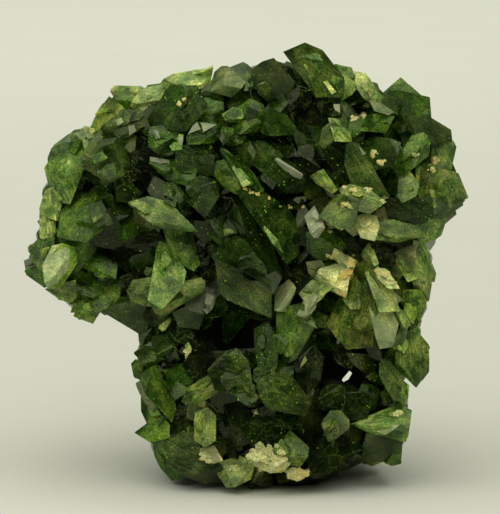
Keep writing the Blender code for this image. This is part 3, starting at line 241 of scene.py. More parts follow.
# Each front crystal: how far it stands out, how its main face leans to the right and upwards,
# its tone, and its rim in the picture
frontCrystals = {
    "crown_pale_tip": (-1.5, (-0.5, 0.5), "pale",
        [(10.8, 9.3), (10.9, 8.6), (11.3, 8.2), (13.9, 8.8), (13.5, 10.6), (11.9, 11.0)]),
    "crown_pale_ridge": (-1.0, (0.1, 0.7), "pale",
        [(13.2, 10.6), (14.0, 8.75), (16.9, 7.7), (17.1, 8.5), (15.7, 10.3), (14.2, 11.3)]),
    "crown_left_flank": (-1.2, (-0.7, 0.3), "fern",
        [(8.5, 12.9), (9.9, 10.6), (10.9, 9.3), (12.2, 10.8), (12.6, 12.6), (10.2, 13.4)]),
    "crown_left_foot": (0.3, (-0.1, 0.15), "khaki",
        [(9.9, 12.8), (12.2, 10.8), (14.4, 11.0), (14.6, 12.4), (13.0, 13.6), (10.8, 14.0)]),
    "shoulder_spike": (-0.6, (-0.6, 0.6), "leek",
        [(6.5, 13.1), (7.5, 13.3), (8.2, 14.1), (7.8, 15.0), (6.9, 14.6)]),
    "shoulder_step": (-0.8, (-0.3, 0.7), "pale",
        [(7.3, 13.3), (8.5, 12.4), (9.4, 12.8), (10.0, 14.5), (8.8, 15.0)]),
    "crown_dark_slope": (0.4, (-0.4, 0.2), "night",
        [(14.4, 11.8), (16.9, 8.3), (19.6, 8.6), (20.4, 10.8), (18.6, 12.9), (15.4, 13.0)]),
    "crown_yellow_edge": (0.2, (0.0, 0.5), "pale",
        [(15.4, 8.2), (17.3, 7.2), (21.5, 6.4), (21.0, 8.6), (19.0, 9.2), (16.4, 9.1)]),
    "crown_grey_face": (0.6, (0.05, 0.5), "ash",
        [(20.7, 9.1), (21.0, 7.0), (21.9, 6.3), (22.8, 6.4), (24.6, 8.2), (23.2, 9.8)]),
    "crown_middle": (-0.8, (0.2, 0.5), "bottle",
        [(22.4, 6.6), (24.6, 5.8), (25.6, 6.8), (25.6, 8.6), (24.6, 9.4), (22.8, 8.8)]),
    "crown_olive": (-0.2, (0.05, -0.15), "sedge",
        [(25.2, 6.9), (26.1, 6.3), (27.4, 5.9), (29.6, 8.2), (29.1, 10.2), (27.4, 10.8), (25.7, 9.4)]),
    "crown_olive_wedge": (-1.2, (0.3, 0.9), "sedge",
        [(27.4, 6.0), (28.7, 6.1), (30.2, 7.4), (30.0, 8.6), (28.6, 7.7)]),
    "tower": (1.9, (0.3, 0.15), "khaki",
        [(28.5, 5.3), (30.5, 4.25), (32.4, 4.9), (34.8, 7.8), (34.4, 9.8), (31.6, 9.7)]),
    "tower_step": (1.0, (0.5, 0.6), "leek",
        [(32.8, 8.2), (33.4, 6.2), (35.2, 6.5), (35.7, 7.4), (35.6, 9.0), (34.2, 10.0)]),
    "lime_lens": (0.9, (0.6, 0.5), "pale",
        [(34.9, 6.9), (36.9, 7.2), (38.5, 9.6), (38.0, 10.4), (36.9, 10.2), (35.8, 8.9)]),
    "grey_ledge": (1.5, (0.2, 0.6), "ash",
        [(36.6, 9.7), (38.2, 10.2), (39.6, 11.2), (38.8, 11.5), (37.5, 11.1)]),
    "right_peak": (-2.2, (0.2, 0.4), "moss",
        [(38.3, 9.3), (40.1, 7.5), (42.1, 9.5), (41.4, 10.4), (39.4, 10.2)]),
    "right_block": (0.3, (0.3, -0.1), "bottle",
        [(38.2, 10.4), (39.1, 9.0), (43.2, 9.6), (43.5, 12.0), (41.6, 12.8), (39.8, 12.0)]),
    "right_beam": (0.6, (0.5, 0.4), "slate",
        [(39.6, 11.4), (42.0, 11.0), (45.5, 12.9), (45.5, 14.3), (43.2, 14.4), (39.8, 12.4)]),
    "right_notch": (-0.6, (0.6, -0.1), "leek",
        [(43.0, 13.9), (45.5, 13.9), (46.0, 14.6), (45.4, 17.1), (44.0, 17.0), (43.0, 15.6)]),
    "right_cheek": (1.1, (0.5, 0.1), "sage",
        [(43.2, 17.8), (43.8, 16.8), (45.9, 17.0), (47.1, 19.8), (45.0, 20.8), (43.6, 19.6)]),
    "right_chin": (0.2, (0.5, -0.5), "leek",
        [(42.6, 20.2), (43.8, 19.4), (46.9, 19.9), (45.2, 21.7), (44.4, 22.4), (42.8, 21.6)]),
    "right_lip": (-0.4, (0.5, -0.2), "leek",
        [(41.2, 23.2), (42.0, 21.5), (44.9, 21.7), (44.3, 23.6), (43.5, 24.15), (42.4, 24.15)]),
    "left_dome": (0.4, (-0.4, 0.4), "moss",
        [(4.5, 15.8), (4.9, 14.6), (6.0, 14.1), (8.2, 13.9), (8.6, 15.6), (8.1, 17.0), (6.4, 17.6), (4.7, 16.8)]),
    "left_lime": (1.0, (-0.4, 0.0), "leek",
        [(4.2, 16.6), (4.8, 15.8), (8.0, 17.0), (6.9, 20.4), (5.8, 20.2), (4.6, 18.2)]),
    "left_boulder": (1.4, (0.1, -0.05), "sedge",
        [(8.0, 15.0), (9.7, 13.9), (12.8, 13.5), (13.3, 17.2), (10.8, 18.4), (8.0, 16.6)]),
    "left_pale_wedge": (3.0, (-0.1, 0.5), "pale",
        [(8.2, 17.3), (9.7, 18.5), (9.6, 19.2), (8.6, 19.5), (7.6, 19.1)]),
    "left_slab": (1.4, (0.1, 0.2), "moss",
        [(5.5, 23.7), (5.6, 21.2), (7.2, 18.9), (9.7, 18.7), (11.5, 22.4), (8.6, 24.2)]),
    "left_rind": (0.1, (-0.5, 0.1), "pale",
        [(3.8, 20.8), (4.4, 18.9), (5.4, 18.6), (6.2, 20.6), (5.8, 22.0), (3.9, 21.6)]),
    "left_step": (0.2, (-0.3, 0.2), "frost",
        [(2.2, 26.0), (3.2, 25.7), (4.2, 26.0), (4.4, 27.2), (2.6, 27.4)]),
    "left_rind_lower": (-0.1, (-0.5, 0.0), "pale",
        [(3.75, 22.0), (3.95, 20.6), (5.3, 20.4), (5.7, 21.6), (5.5, 24.0), (3.8, 24.0)]),
    "left_elbow": (0.4, (-0.4, 0.2), "leek",
        [(2.7, 24.7), (3.6, 23.9), (5.3, 23.7), (5.4, 25.4), (4.4, 27.2), (3.0, 26.4)]),
    "left_oval_face": (2.4, (-0.05, 0.5), "milk",
        [(4.3, 26.5), (5.1, 24.3), (6.2, 24.1), (7.1, 24.7), (7.0, 27.0), (5.0, 28.6)]),
    "left_oval_back": (1.3, (0.3, -0.1), "lime",
        [(4.8, 26.2), (6.2, 24.4), (7.6, 24.6), (7.8, 26.4), (6.2, 28.8), (5.0, 29.0)]),
    "left_hem": (0.9, (-0.3, -0.4), "moss",
        [(2.4, 27.0), (4.3, 26.9), (5.2, 28.4), (4.5, 28.9), (2.5, 27.5)]),
    "left_keel": (1.2, (-0.1, -0.5), "leek",
        [(4.4, 28.9), (7.4, 28.2), (7.7, 29.8), (7.2, 30.4), (5.8, 30.0)]),
    "left_barb": (0.3, (-0.4, -0.2), "moss",
        [(6.8, 31.4), (7.3, 30.3), (8.0, 29.8), (8.3, 30.6), (7.6, 31.3)]),
    "left_fin": (1.3, (0.1, 0.1), "leek",
        [(7.3, 31.6), (8.0, 30.4), (9.4, 29.9), (10.1, 31.1), (9.3, 32.4)]),
    "arm_underside": (0.8, (0.0, -0.3), "slate",
        [(10.1, 31.1), (10.6, 30.0), (12.9, 29.4), (14.9, 31.0), (15.0, 33.2), (14.1, 33.7)]),
    "recess_green": (-1.8, (0.0, 0.3), "leek",
        [(8.0, 27.9), (10.0, 27.6), (12.2, 28.4), (12.0, 30.2), (10.0, 31.0), (8.2, 30.4)]),
    "recess_lath": (-1.0, (0.0, 0.3), "moss",
        [(7.8, 25.4), (9.6, 25.0), (11.8, 26.4), (11.6, 27.8), (9.2, 27.6), (7.9, 26.8)]),
    "recess_post": (-1.6, (0.04, 0.0), "shade",
        [(13.8, 22.6), (15.0, 22.0), (16.1, 23.8), (15.8, 26.4), (14.8, 26.0), (13.9, 24.6)]),
    "recess_dark": (-4.4, (-0.08, 0.0), "shade",
        [(10.6, 23.6), (11.0, 21.6), (13.8, 21.4), (14.8, 24.6), (13.6, 27.6), (11.4, 26.6)]),
    "shadow_left": (-1.2, (0.08, 0.0), "shade",
        [(13.0, 17.8), (13.2, 15.6), (14.6, 15.2), (16.0, 16.6), (15.8, 18.8), (14.2, 19.2)]),
    "shadow_left_low": (-0.2, (-0.08, 0.0), "shade",
        [(11.4, 18.6), (13.0, 18.0), (14.2, 19.4), (13.2, 20.4), (11.6, 20.2)]),
    "shadow_left_foot": (-0.6, (0.3, 0.2), "bottle",
        [(11.2, 22.4), (11.4, 20.6), (12.8, 20.4), (14.2, 21.6), (13.8, 23.6), (12.0, 24.2)]),
    "shadow_middle": (0.1, (0.1, 0.3), "night",
        [(16.0, 18.2), (17.8, 18.0), (18.8, 19.8), (18.2, 21.2), (16.4, 20.0)]),
    "pale_slope": (1.2, (-0.1, 0.5), "leek",
        [(12.2, 19.9), (14.7, 19.2), (17.0, 20.1), (19.7, 23.1), (16.7, 23.0), (12.8, 20.8)]),
    "pale_slope_foot": (0.1, (0.2, 0.0), "leek",
        [(16.3, 22.6), (19.3, 23.0), (20.1, 26.4), (19.4, 27.2), (17.6, 26.2), (16.9, 24.6)]),
    "pale_spire": (2.4, (0.2, 0.4), "leek",
        [(16.2, 22.4), (18.8, 27.3), (18.2, 28.8), (16.4, 30.4), (15.2, 29.6), (15.4, 25.0)]),
    "spire_foot_left": (1.2, (-0.3, 0.2), "fern",
        [(12.4, 29.1), (13.1, 27.8), (15.8, 27.6), (16.4, 29.4), (15.2, 30.8), (13.0, 30.3)]),
    "spire_foot_right": (1.4, (0.1, 0.2), "pale",
        [(14.5, 30.2), (15.6, 28.0), (19.9, 26.8), (20.7, 28.2), (20.5, 29.3), (16.0, 31.8)]),
    "bar_left": (0.2, (0.0, 0.6), "bottle",
        [(14.8, 15.6), (18.8, 15.9), (19.8, 17.0), (19.0, 18.6), (16.6, 18.2), (15.0, 16.6)]),
    "brow_left": (-0.2, (0.0, 0.05), "bottle",
        [(14.8, 12.6), (16.6, 12.4), (18.6, 13.2), (18.2, 15.0), (16.2, 15.8), (14.8, 14.6)]),
    "brow_pale_chip": (0.7, (0.1, 0.5), "lime",
        [(17.0, 14.6), (18.0, 13.2), (18.6, 13.4), (18.1, 14.9), (17.3, 15.0)]),
    "brow_grey_step": (0.6, (0.0, 0.1), "bottle",
        [(18.6, 13.6), (19.6, 12.1), (22.2, 12.3), (22.4, 13.4), (21.4, 14.4), (18.7, 14.5)]),
    "brow_upper": (-0.2, (0.0, 0.2), "bottle",
        [(18.2, 12.4), (18.5, 10.6), (20.6, 9.6), (22.4, 10.2), (22.4, 12.2), (20.2, 12.8)]),
    "brow_under": (-0.1, (0.0, -0.1), "night",
        [(17.4, 16.4), (17.6, 14.6), (20.4, 14.4), (22.2, 15.4), (21.8, 17.6), (19.2, 17.8)]),
    "mossy_left": (0.9, (0.0, 0.4), "moss",
        [(22.0, 11.4), (24.7, 9.5), (26.6, 10.4), (26.9, 11.8), (25.6, 13.3), (23.6, 13.2)]),
    "mossy_right": (0.8, (0.3, 0.1), "bottle",
        [(25.4, 11.4), (27.2, 10.9), (28.8, 11.4), (29.8, 12.6), (29.6, 13.6), (26.2, 13.5)]),
    "dark_pentagon": (1.1, (-0.05, -0.15), "night",
        [(18.5, 18.2), (20.0, 17.6), (21.8, 18.0), (22.1, 19.5), (20.5, 22.1), (18.6, 20.1)]),
    "pentagon_foot": (-0.6, (0.2, 0.2), "night",
        [(20.4, 21.6), (22.2, 20.6), (23.8, 22.4), (23.6, 24.2), (21.8, 24.6), (20.6, 23.4)]),
    "neck_step": (0.2, (-0.1, 0.3), "moss",
        [(21.8, 13.9), (22.2, 12.6), (24.4, 13.0), (24.8, 14.4), (23.0, 14.9)]),
    "lath_upper": (0.8, (-0.2, 0.3), "bottle",
        [(21.8, 14.4), (23.0, 14.6), (25.2, 17.2), (26.4, 19.0), (25.4, 19.4), (22.0, 15.4)]),
    "lath_lower": (0.2, (-0.3, 0.1), "moss",
        [(20.9, 16.0), (22.6, 15.8), (25.2, 19.0), (24.6, 19.8), (22.4, 18.8), (21.0, 17.4)]),
    "lath_behind": (-0.2, (0.0, 0.0), "night",
        [(24.6, 14.0), (26.4, 14.0), (31.2, 17.8), (31.0, 19.2), (28.6, 19.4), (24.6, 16.0)]),
    "broad_lath_top": (0.6, (0.3, 0.0), "night",
        [(24.0, 19.2), (25.4, 18.8), (28.8, 20.6), (30.4, 22.6), (30.0, 25.6), (28.6, 26.6)]),
    "broad_lath_low": (0.4, (-0.4, -0.1), "night",
        [(21.8, 19.6), (24.0, 19.4), (27.4, 23.4), (28.4, 26.4), (26.6, 26.6), (22.2, 21.6)]),
    "shadow_crown": (-2.4, (-0.08, 0.0), "shade",
        [(29.0, 10.2), (31.4, 9.8), (33.6, 11.2), (33.4, 14.2), (31.4, 15.8), (29.4, 14.8)]),
    "shadow_cheek": (-1.2, (-0.08, 0.0), "shade",
        [(31.0, 14.2), (33.6, 13.4), (35.4, 15.6), (34.6, 18.4), (32.4, 18.6), (31.0, 16.6)]),
    "hexagon_face": (2.3, (-0.1, -0.12), "slate",
        [(21.4, 25.6), (27.0, 28.0), (27.2, 31.9), (22.8, 30.2), (21.8, 29.2)]),
    "hexagon_crown": (2.0, (-0.04, 0.0), "night",
        [(21.4, 25.8), (22.0, 24.2), (24.4, 23.8), (26.9, 26.6), (27.2, 28.6)]),
    "hexagon_back": (0.4, (0.2, 0.3), "night",
        [(22.4, 23.4), (25.2, 23.0), (27.6, 25.4), (28.4, 27.6), (27.2, 29.2), (24.6, 27.6)]),
    "lime_flake": (1.6, (0.0, 0.1), "fern",
        [(30.9, 17.5), (32.4, 16.8), (33.8, 19.0), (33.2, 19.4), (31.6, 18.5)]),
    "leaf_face": (1.1, (0.2, 0.1), "moss",
        [(36.1, 13.0), (36.4, 11.6), (38.4, 11.2), (39.7, 11.6), (38.6, 13.3)]),
    "gilded_nest": (0.2, (-0.1, 0.2), "bottle",
        [(34.8, 12.0), (36.5, 11.6), (36.1, 13.2), (35.4, 13.8), (34.8, 13.2)]),
    "pale_sliver": (0.4, (0.4, 0.4), "leek",
        [(32.6, 11.6), (33.8, 11.7), (35.2, 13.3), (35.2, 14.2), (33.6, 13.9)]),
    "quiet_face": (0.4, (-0.1, 0.0), "slate",
        [(34.4, 16.6), (34.6, 14.0), (36.0, 14.4), (38.8, 19.4), (37.0, 19.8), (35.2, 18.8)]),
    "spear_right": (-0.6, (-0.2, 0.1), "bottle",
        [(37.0, 13.4), (38.6, 13.2), (40.2, 14.8), (40.4, 17.2), (38.8, 18.2), (37.4, 16.4)]),
    "cheek_pale": (0.9, (-0.2, 0.3), "moss",
        [(40.0, 15.2), (41.0, 13.4), (42.4, 13.1), (43.2, 14.2), (43.0, 15.6), (40.2, 17.4)]),
    "cheek_grey": (0.4, (0.0, 0.2), "sage",
        [(39.2, 17.2), (41.0, 16.8), (42.0, 18.4), (41.6, 19.6), (40.2, 20.2), (39.2, 19.2)]),
    "cheek_split": (0.7, (0.3, 0.1), "fern",
        [(41.6, 16.6), (43.4, 16.2), (44.4, 17.8), (44.2, 19.6), (42.8, 20.4), (41.8, 19.4)]),
    "cheek_dark": (0.4, (-0.1, -0.1), "night",
        [(38.4, 21.2), (38.6, 19.6), (43.2, 19.8), (43.4, 21.8), (41.6, 22.8), (39.2, 22.6)]),
    "jaw_band": (0.8, (0.1, 0.2), "leek",
        [(37.2, 22.4), (39.2, 21.8), (42.4, 22.6), (42.2, 23.8), (39.8, 24.4), (37.4, 23.8)]),
    "grey_shard": (1.5, (-0.1, 0.45), "frost",
        [(30.3, 21.6), (31.6, 20.0), (32.6, 22.9), (31.8, 24.0), (31.0, 23.2)]),
    "pale_fist": (2.2, (-0.2, 0.3), "khaki",
        [(31.7, 21.7), (33.2, 19.5), (34.5, 19.0), (36.0, 20.0), (35.4, 22.2), (34.0, 22.9)]),
    "pale_knuckle": (1.8, (0.2, 0.5), "olive",
        [(33.8, 18.8), (35.0, 18.2), (37.2, 18.8), (38.9, 20.2), (36.8, 21.2), (34.8, 20.6)]),
    "pale_thumb": (1.8, (0.1, 0.4), "chalk",
        [(35.2, 21.8), (36.2, 21.3), (37.8, 21.4), (38.0, 22.6), (37.4, 23.9), (36.2, 23.6)]),
    "thumb_heel": (1.9, (0.0, 0.3), "pale",
        [(34.4, 25.2), (34.9, 24.4), (36.0, 23.7), (37.3, 24.0), (35.9, 24.9), (35.0, 25.4)]),
    "under_fist": (0.2, (0.0, -0.3), "moss",
        [(30.6, 23.4), (33.2, 22.8), (34.8, 24.4), (34.2, 25.8), (32.0, 26.2), (30.6, 25.2)]),
    "temple": (0.2, (0.2, 0.2), "leek",
        [(39.6, 23.8), (41.8, 23.6), (42.8, 25.4), (42.4, 27.6), (40.8, 28.0), (39.6, 26.0)]),
    "far_right_rib": (-0.2, (0.7, 0.0), "pale",
        [(41.0, 27.2), (41.4, 24.2), (42.6, 24.2), (43.8, 27.2), (43.1, 30.4), (41.6, 29.8)]),
    "right_hip": (0.6, (0.4, -0.1), "fern",
        [(40.0, 30.4), (40.2, 29.0), (42.2, 28.8), (42.9, 30.2), (41.8, 33.0), (40.8, 32.0)]),
    "pale_tooth": (1.3, (0.1, 0.4), "pale",
        [(35.9, 25.4), (37.1, 23.8), (37.6, 25.4), (38.1, 27.4), (37.3, 27.8)]),
    "matrix_spur": (2.4, (0.2, 0.4), "chalk",
        [(37.4, 26.6), (38.8, 26.9), (40.0, 28.9), (38.8, 28.8), (37.8, 27.9)]),
    "strip_top": (2.3, (0.2, 0.35), "pale",
        [(36.3, 27.2), (37.8, 26.4), (39.5, 28.6), (39.9, 31.0), (38.2, 31.0)]),
    "strip_side": (1.6, (0.2, 0.3), "pale",
        [(39.5, 30.5), (40.6, 31.1), (41.1, 32.6), (40.2, 33.0), (39.4, 31.8)]),
    "great_wedge_left": (2.4, (-0.25, 0.05), "olive",
        [(32.3, 32.6), (33.6, 29.4), (35.1, 26.2), (36.5, 25.8), (38.5, 30.0), (38.0, 34.6), (34.6, 35.0)]),
    "great_wedge_right": (2.0, (0.3, 0.3), "milk",
        [(36.5, 26.0), (37.8, 26.8), (39.9, 32.4), (39.2, 34.6), (38.0, 34.8), (36.9, 30.6)]),
    "pale_bridge": (2.1, (-0.1, 0.4), "chalk",
        [(31.2, 28.0), (32.0, 26.8), (33.8, 26.2), (35.2, 26.8), (34.4, 29.8), (32.4, 29.0)]),
    "pale_bridge_top": (1.7, (0.0, 0.6), "chalk",
        [(32.7, 25.6), (33.8, 24.8), (35.6, 26.0), (35.3, 27.2), (33.4, 26.9)]),
    "twin_head": (2.1, (-0.1, 0.3), "milk",
        [(27.1, 29.0), (29.0, 27.7), (29.7, 28.8), (28.6, 31.2), (27.5, 31.0)]),
    "twin_body": (1.8, (-0.1, 0.1), "moss",
        [(27.2, 30.8), (30.4, 30.2), (31.8, 32.4), (29.6, 36.2), (28.4, 36.6), (27.2, 35.1)]),
    "twin_tile": (2.3, (0.1, 0.4), "milk",
        [(29.8, 31.4), (30.6, 29.2), (31.9, 29.2), (31.6, 30.8), (30.6, 31.8)]),
    "bridge_foot": (2.0, (-0.1, 0.4), "pale",
        [(29.8, 29.4), (31.2, 27.8), (33.2, 28.6), (32.2, 29.8), (31.0, 30.6)]),
    "hip_mottled": (1.0, (0.3, 0.2), "leek",
        [(39.5, 36.6), (39.6, 33.6), (41.6, 32.6), (43.2, 34.5), (43.0, 37.2), (41.6, 38.7)]),
    "hip_grey": (0.8, (-0.1, 0.0), "ash",
        [(39.2, 34.8), (40.0, 32.6), (41.0, 32.2), (40.6, 34.0), (39.8, 35.2)]),
    "grey_leaf": (1.5, (0.1, -0.15), "khaki",
        [(37.9, 37.6), (38.0, 35.7), (39.1, 36.0), (40.4, 37.5), (40.2, 40.3), (39.2, 40.2)]),
    "leaf_back": (0.4, (0.5, 0.0), "leek",
        [(39.6, 37.6), (41.0, 38.4), (40.9, 40.0), (40.4, 41.0), (39.8, 40.6)]),
    "pocket_floor": (-1.0, (-0.04, 0.0), "shade",
        [(33.0, 40.8), (33.4, 38.6), (35.4, 38.4), (37.2, 40.2), (36.8, 41.8), (34.4, 42.2)]),
    "pocket_step": (0.3, (0.0, 0.0), "shade",
        [(31.8, 38.8), (33.4, 38.2), (34.6, 38.6), (34.6, 40.4), (33.4, 41.6), (31.8, 40.8)]),
    "low_right_band": (1.7, (0.1, 0.3), "leek",
        [(34.6, 42.4), (37.8, 40.9), (40.2, 40.3), (41.4, 41.0), (40.6, 44.3), (37.2, 43.6)]),
    "low_right_dark": (1.3, (-0.1, -0.2), "slate",
        [(36.6, 43.3), (39.2, 43.4), (40.3, 44.3), (38.6, 45.9), (36.9, 46.7), (35.8, 45.8)]),
    "low_right_tip": (0.9, (0.2, -0.1), "moss",
        [(38.3, 45.4), (39.6, 43.6), (40.3, 43.8), (40.2, 46.5), (39.2, 46.7), (38.3, 46.2)]),
    "low_round": (1.8, (0.1, 0.2), "olive",
        [(32.0, 42.4), (33.0, 41.0), (34.2, 41.0), (35.0, 42.0), (35.0, 42.8), (32.8, 44.3)]),
    "low_shadow_block": (0.7, (0.04, 0.0), "shade",
        [(30.4, 45.8), (30.6, 44.2), (35.2, 43.4), (35.3, 45.4), (33.0, 47.4), (31.2, 47.4)]),
    "table_face": (1.7, (0.1, 0.0), "sedge",
        [(25.4, 38.6), (26.4, 37.3), (29.0, 37.3), (31.3, 40.2), (30.6, 41.7), (26.8, 41.0)]),
    "table_back": (0.6, (-0.2, 0.4), "bottle",
        [(25.2, 36.6), (27.4, 35.4), (29.4, 36.6), (29.2, 38.2), (26.6, 38.8), (25.2, 38.0)]),
    "hollow_jamb": (0.4, (-0.4, 0.2), "night",
        [(25.2, 32.8), (26.8, 32.0), (27.8, 34.0), (27.4, 36.6), (26.0, 37.4), (25.4, 35.2)]),
    "post_right": (0.0, (0.08, 0.0), "shade",
        [(29.4, 36.2), (31.4, 34.4), (32.6, 35.6), (32.2, 38.4), (31.0, 39.8), (29.6, 38.2)]),
    "amber_left": (1.5, (-0.1, 0.1), "khaki",
        [(20.6, 37.0), (22.4, 35.0), (23.8, 34.8), (24.9, 36.2), (25.2, 38.6), (23.6, 39.6), (21.4, 39.0)]),
    "amber_tail": (1.6, (0.1, 0.2), "khaki",
        [(23.4, 38.5), (25.0, 38.2), (26.0, 39.8), (24.8, 40.6), (23.8, 40.0)]),
    "amber_arm": (1.3, (-0.2, 0.15), "olive",
        [(18.0, 40.2), (18.6, 38.8), (21.2, 37.2), (22.6, 38.4), (21.6, 39.6), (19.4, 40.8)]),
    "pale_pillar": (1.7, (0.0, 0.2), "fern",
        [(19.3, 41.2), (20.8, 40.6), (21.7, 41.5), (21.5, 44.0), (20.5, 44.6), (19.5, 44.0)]),
    "pillar_foot": (1.8, (0.1, 0.4), "cream",
        [(19.8, 44.8), (21.6, 44.4), (22.3, 46.0), (21.2, 46.7), (20.1, 45.6)]),
    "cave_left": (-1.0, (0.04, 0.0), "shade",
        [(21.8, 43.0), (22.0, 40.4), (24.6, 40.2), (25.6, 42.2), (24.8, 44.8), (22.8, 45.2)]),
    "cave_right": (-0.2, (-0.08, 0.0), "shade",
        [(24.4, 43.6), (24.6, 41.2), (27.2, 41.2), (28.6, 43.0), (27.8, 44.8), (25.6, 45.4)]),
    "cave_sill": (0.6, (0.0, 0.4), "pale",
        [(21.6, 46.2), (24.0, 45.4), (25.6, 46.2), (25.2, 48.0), (22.6, 48.8), (21.6, 47.6)]),
    "pale_skirt": (1.2, (-0.1, 0.3), "leek",
        [(27.0, 45.0), (28.9, 42.6), (31.0, 44.8), (30.6, 46.0), (30.2, 47.0), (28.0, 46.6)]),
    "matrix_apron": (1.9, (0.0, 0.4), "cream",
        [(24.7, 44.8), (27.6, 44.6), (28.8, 45.6), (28.9, 46.8), (28.2, 47.5), (25.3, 46.9)]),
    "matrix_bead": (1.3, (0.0, 0.2), "cream",
        [(28.4, 47.2), (29.2, 46.6), (31.0, 47.1), (30.4, 47.9), (29.2, 48.0)]),
    "great_foot_face": (1.6, (-0.1, 0.1), "slate",
        [(16.2, 44.2), (18.4, 42.9), (23.2, 47.7), (22.6, 48.7), (20.4, 49.0), (16.6, 46.6)]),
    "foot_side": (0.6, (-0.6, -0.2), "moss",
        [(15.0, 44.0), (16.6, 44.0), (17.8, 47.8), (17.2, 48.1), (16.0, 47.0), (15.2, 45.5)]),
    "foot_spike": (1.3, (-0.3, 0.1), "moss",
        [(12.9, 43.4), (16.0, 41.3), (16.9, 42.5), (16.8, 43.8), (15.0, 44.3)]),
    "grey_stave": (0.9, (-0.3, 0.3), "ash",
        [(13.3, 38.2), (14.0, 37.8), (16.6, 40.8), (15.6, 41.2), (14.2, 39.9), (13.6, 38.9)]),
    "green_stave": (1.2, (0.3, 0.1), "moss",
        [(13.8, 38.2), (14.2, 37.2), (15.5, 36.5), (17.5, 39.2), (17.7, 41.0), (17.2, 42.4)]),
    "waist_bud": (0.8, (-0.5, 0.3), "moss",
        [(12.9, 36.3), (13.5, 35.7), (14.6, 36.4), (14.4, 38.2), (13.4, 37.8)]),
    "waist_ledge": (0.1, (-0.2, 0.5), "moss",
        [(13.2, 35.3), (14.4, 34.4), (16.0, 34.8), (16.4, 36.0), (14.6, 36.6)]),
    "waist_core": (-0.6, (-0.2, 0.1), "bottle",
        [(13.6, 35.6), (15.6, 35.4), (16.0, 38.0), (14.2, 38.2)]),
    "stave_foot": (0.6, (-0.4, 0.1), "moss",
        [(13.9, 39.4), (15.6, 40.6), (16.4, 42.2), (14.7, 42.4), (14.0, 41.2)]),
    "waist_back": (-3.0, (0.0, 0.0), "shade",
        [(14.0, 30.6), (16.6, 30.8), (16.9, 33.4), (14.6, 33.7)]),
    "waist_block": (0.0, (-0.2, 0.2), "moss",
        [(13.7, 33.2), (14.9, 32.4), (15.4, 33.0), (14.8, 34.4), (14.0, 34.8)]),
    "waist_glint": (0.2, (0.1, 0.3), "slate",
        [(15.0, 33.4), (18.0, 33.0), (17.9, 34.6), (16.6, 35.6), (15.2, 35.0)]),
    "under_spire": (0.3, (0.0, -0.2), "slate",
        [(17.2, 31.2), (20.5, 29.9), (20.7, 31.4), (20.0, 33.1), (17.8, 32.8)]),
    "spire_tile": (1.0, (0.2, 0.4), "frost",
        [(20.3, 29.3), (20.9, 29.0), (21.8, 29.6), (21.2, 31.0), (20.6, 31.5)]),
    "hollow_sill": (-0.6, (0.1, 0.4), "bottle",
        [(16.4, 36.6), (18.6, 35.8), (20.2, 37.2), (19.2, 38.8), (17.6, 39.6), (16.4, 38.4)]),
    "hollow_dark": (-2.6, (0.08, 0.0), "shade",
        [(18.2, 36.2), (18.6, 34.6), (21.4, 34.2), (22.4, 36.0), (21.6, 37.8), (19.4, 37.8)]),
    "stave_shadow": (-0.8, (0.04, 0.0), "shade",
        [(17.0, 40.6), (19.4, 40.4), (19.8, 42.6), (18.6, 44.0), (17.0, 43.2)]),
}
growth = {
    "seed": 7,
    "taper": (0.08, 0.28),  # how much the sides close in, for each step back
    "lean": 1.5,
    "bevelOdds": 0.26,
    "bevelWidth": (0.12, 0.6),
    "bevelSlope": (0.5, 1.6),
    "depth": (1.0, 1.25),
    "root": 1.0,
    "heartCover": 3.5,
    "backSlope": 0.9,
    "edgeWear": 0.05,  # width of the worn edges in mm
    "batch": 40,
    "facetTilt": (0.03, 0.10),  # lean of the vicinal faces that break up a large face
}


def lobeFront(across, down):
    best = 0.0
    for centre, half, front, back in lobes.values():
        share = ((across - centre[0]) / half[0]) ** 2 + ((down - centre[1]) / half[1]) ** 2
        best = max(best, front * math.sqrt(max(0.0, 1 - share)))
    return best


def startCrystal(name, size, place, turn):
    # the cube that a crystal is cut from
    deselectAll()
    bpy.ops.mesh.primitive_cube_add(size=size, location=place, rotation=turn.to_euler())
    crystal = bpy.context.object
    crystal.name = name
    bpy.ops.object.mode_set(mode="EDIT")
    return crystal


def cutFlat(point, outward):
    bpy.ops.mesh.select_all(action="SELECT")
    bpy.ops.mesh.bisect(plane_co=point, plane_no=outward, use_fill=True, clear_outer=True, threshold=1e-7)


def setAttribute(mesh, name, kind, domain, key, values):
    mesh.attributes.new(name, kind, domain)
    mesh.attributes[name].data.foreach_set(key, values)


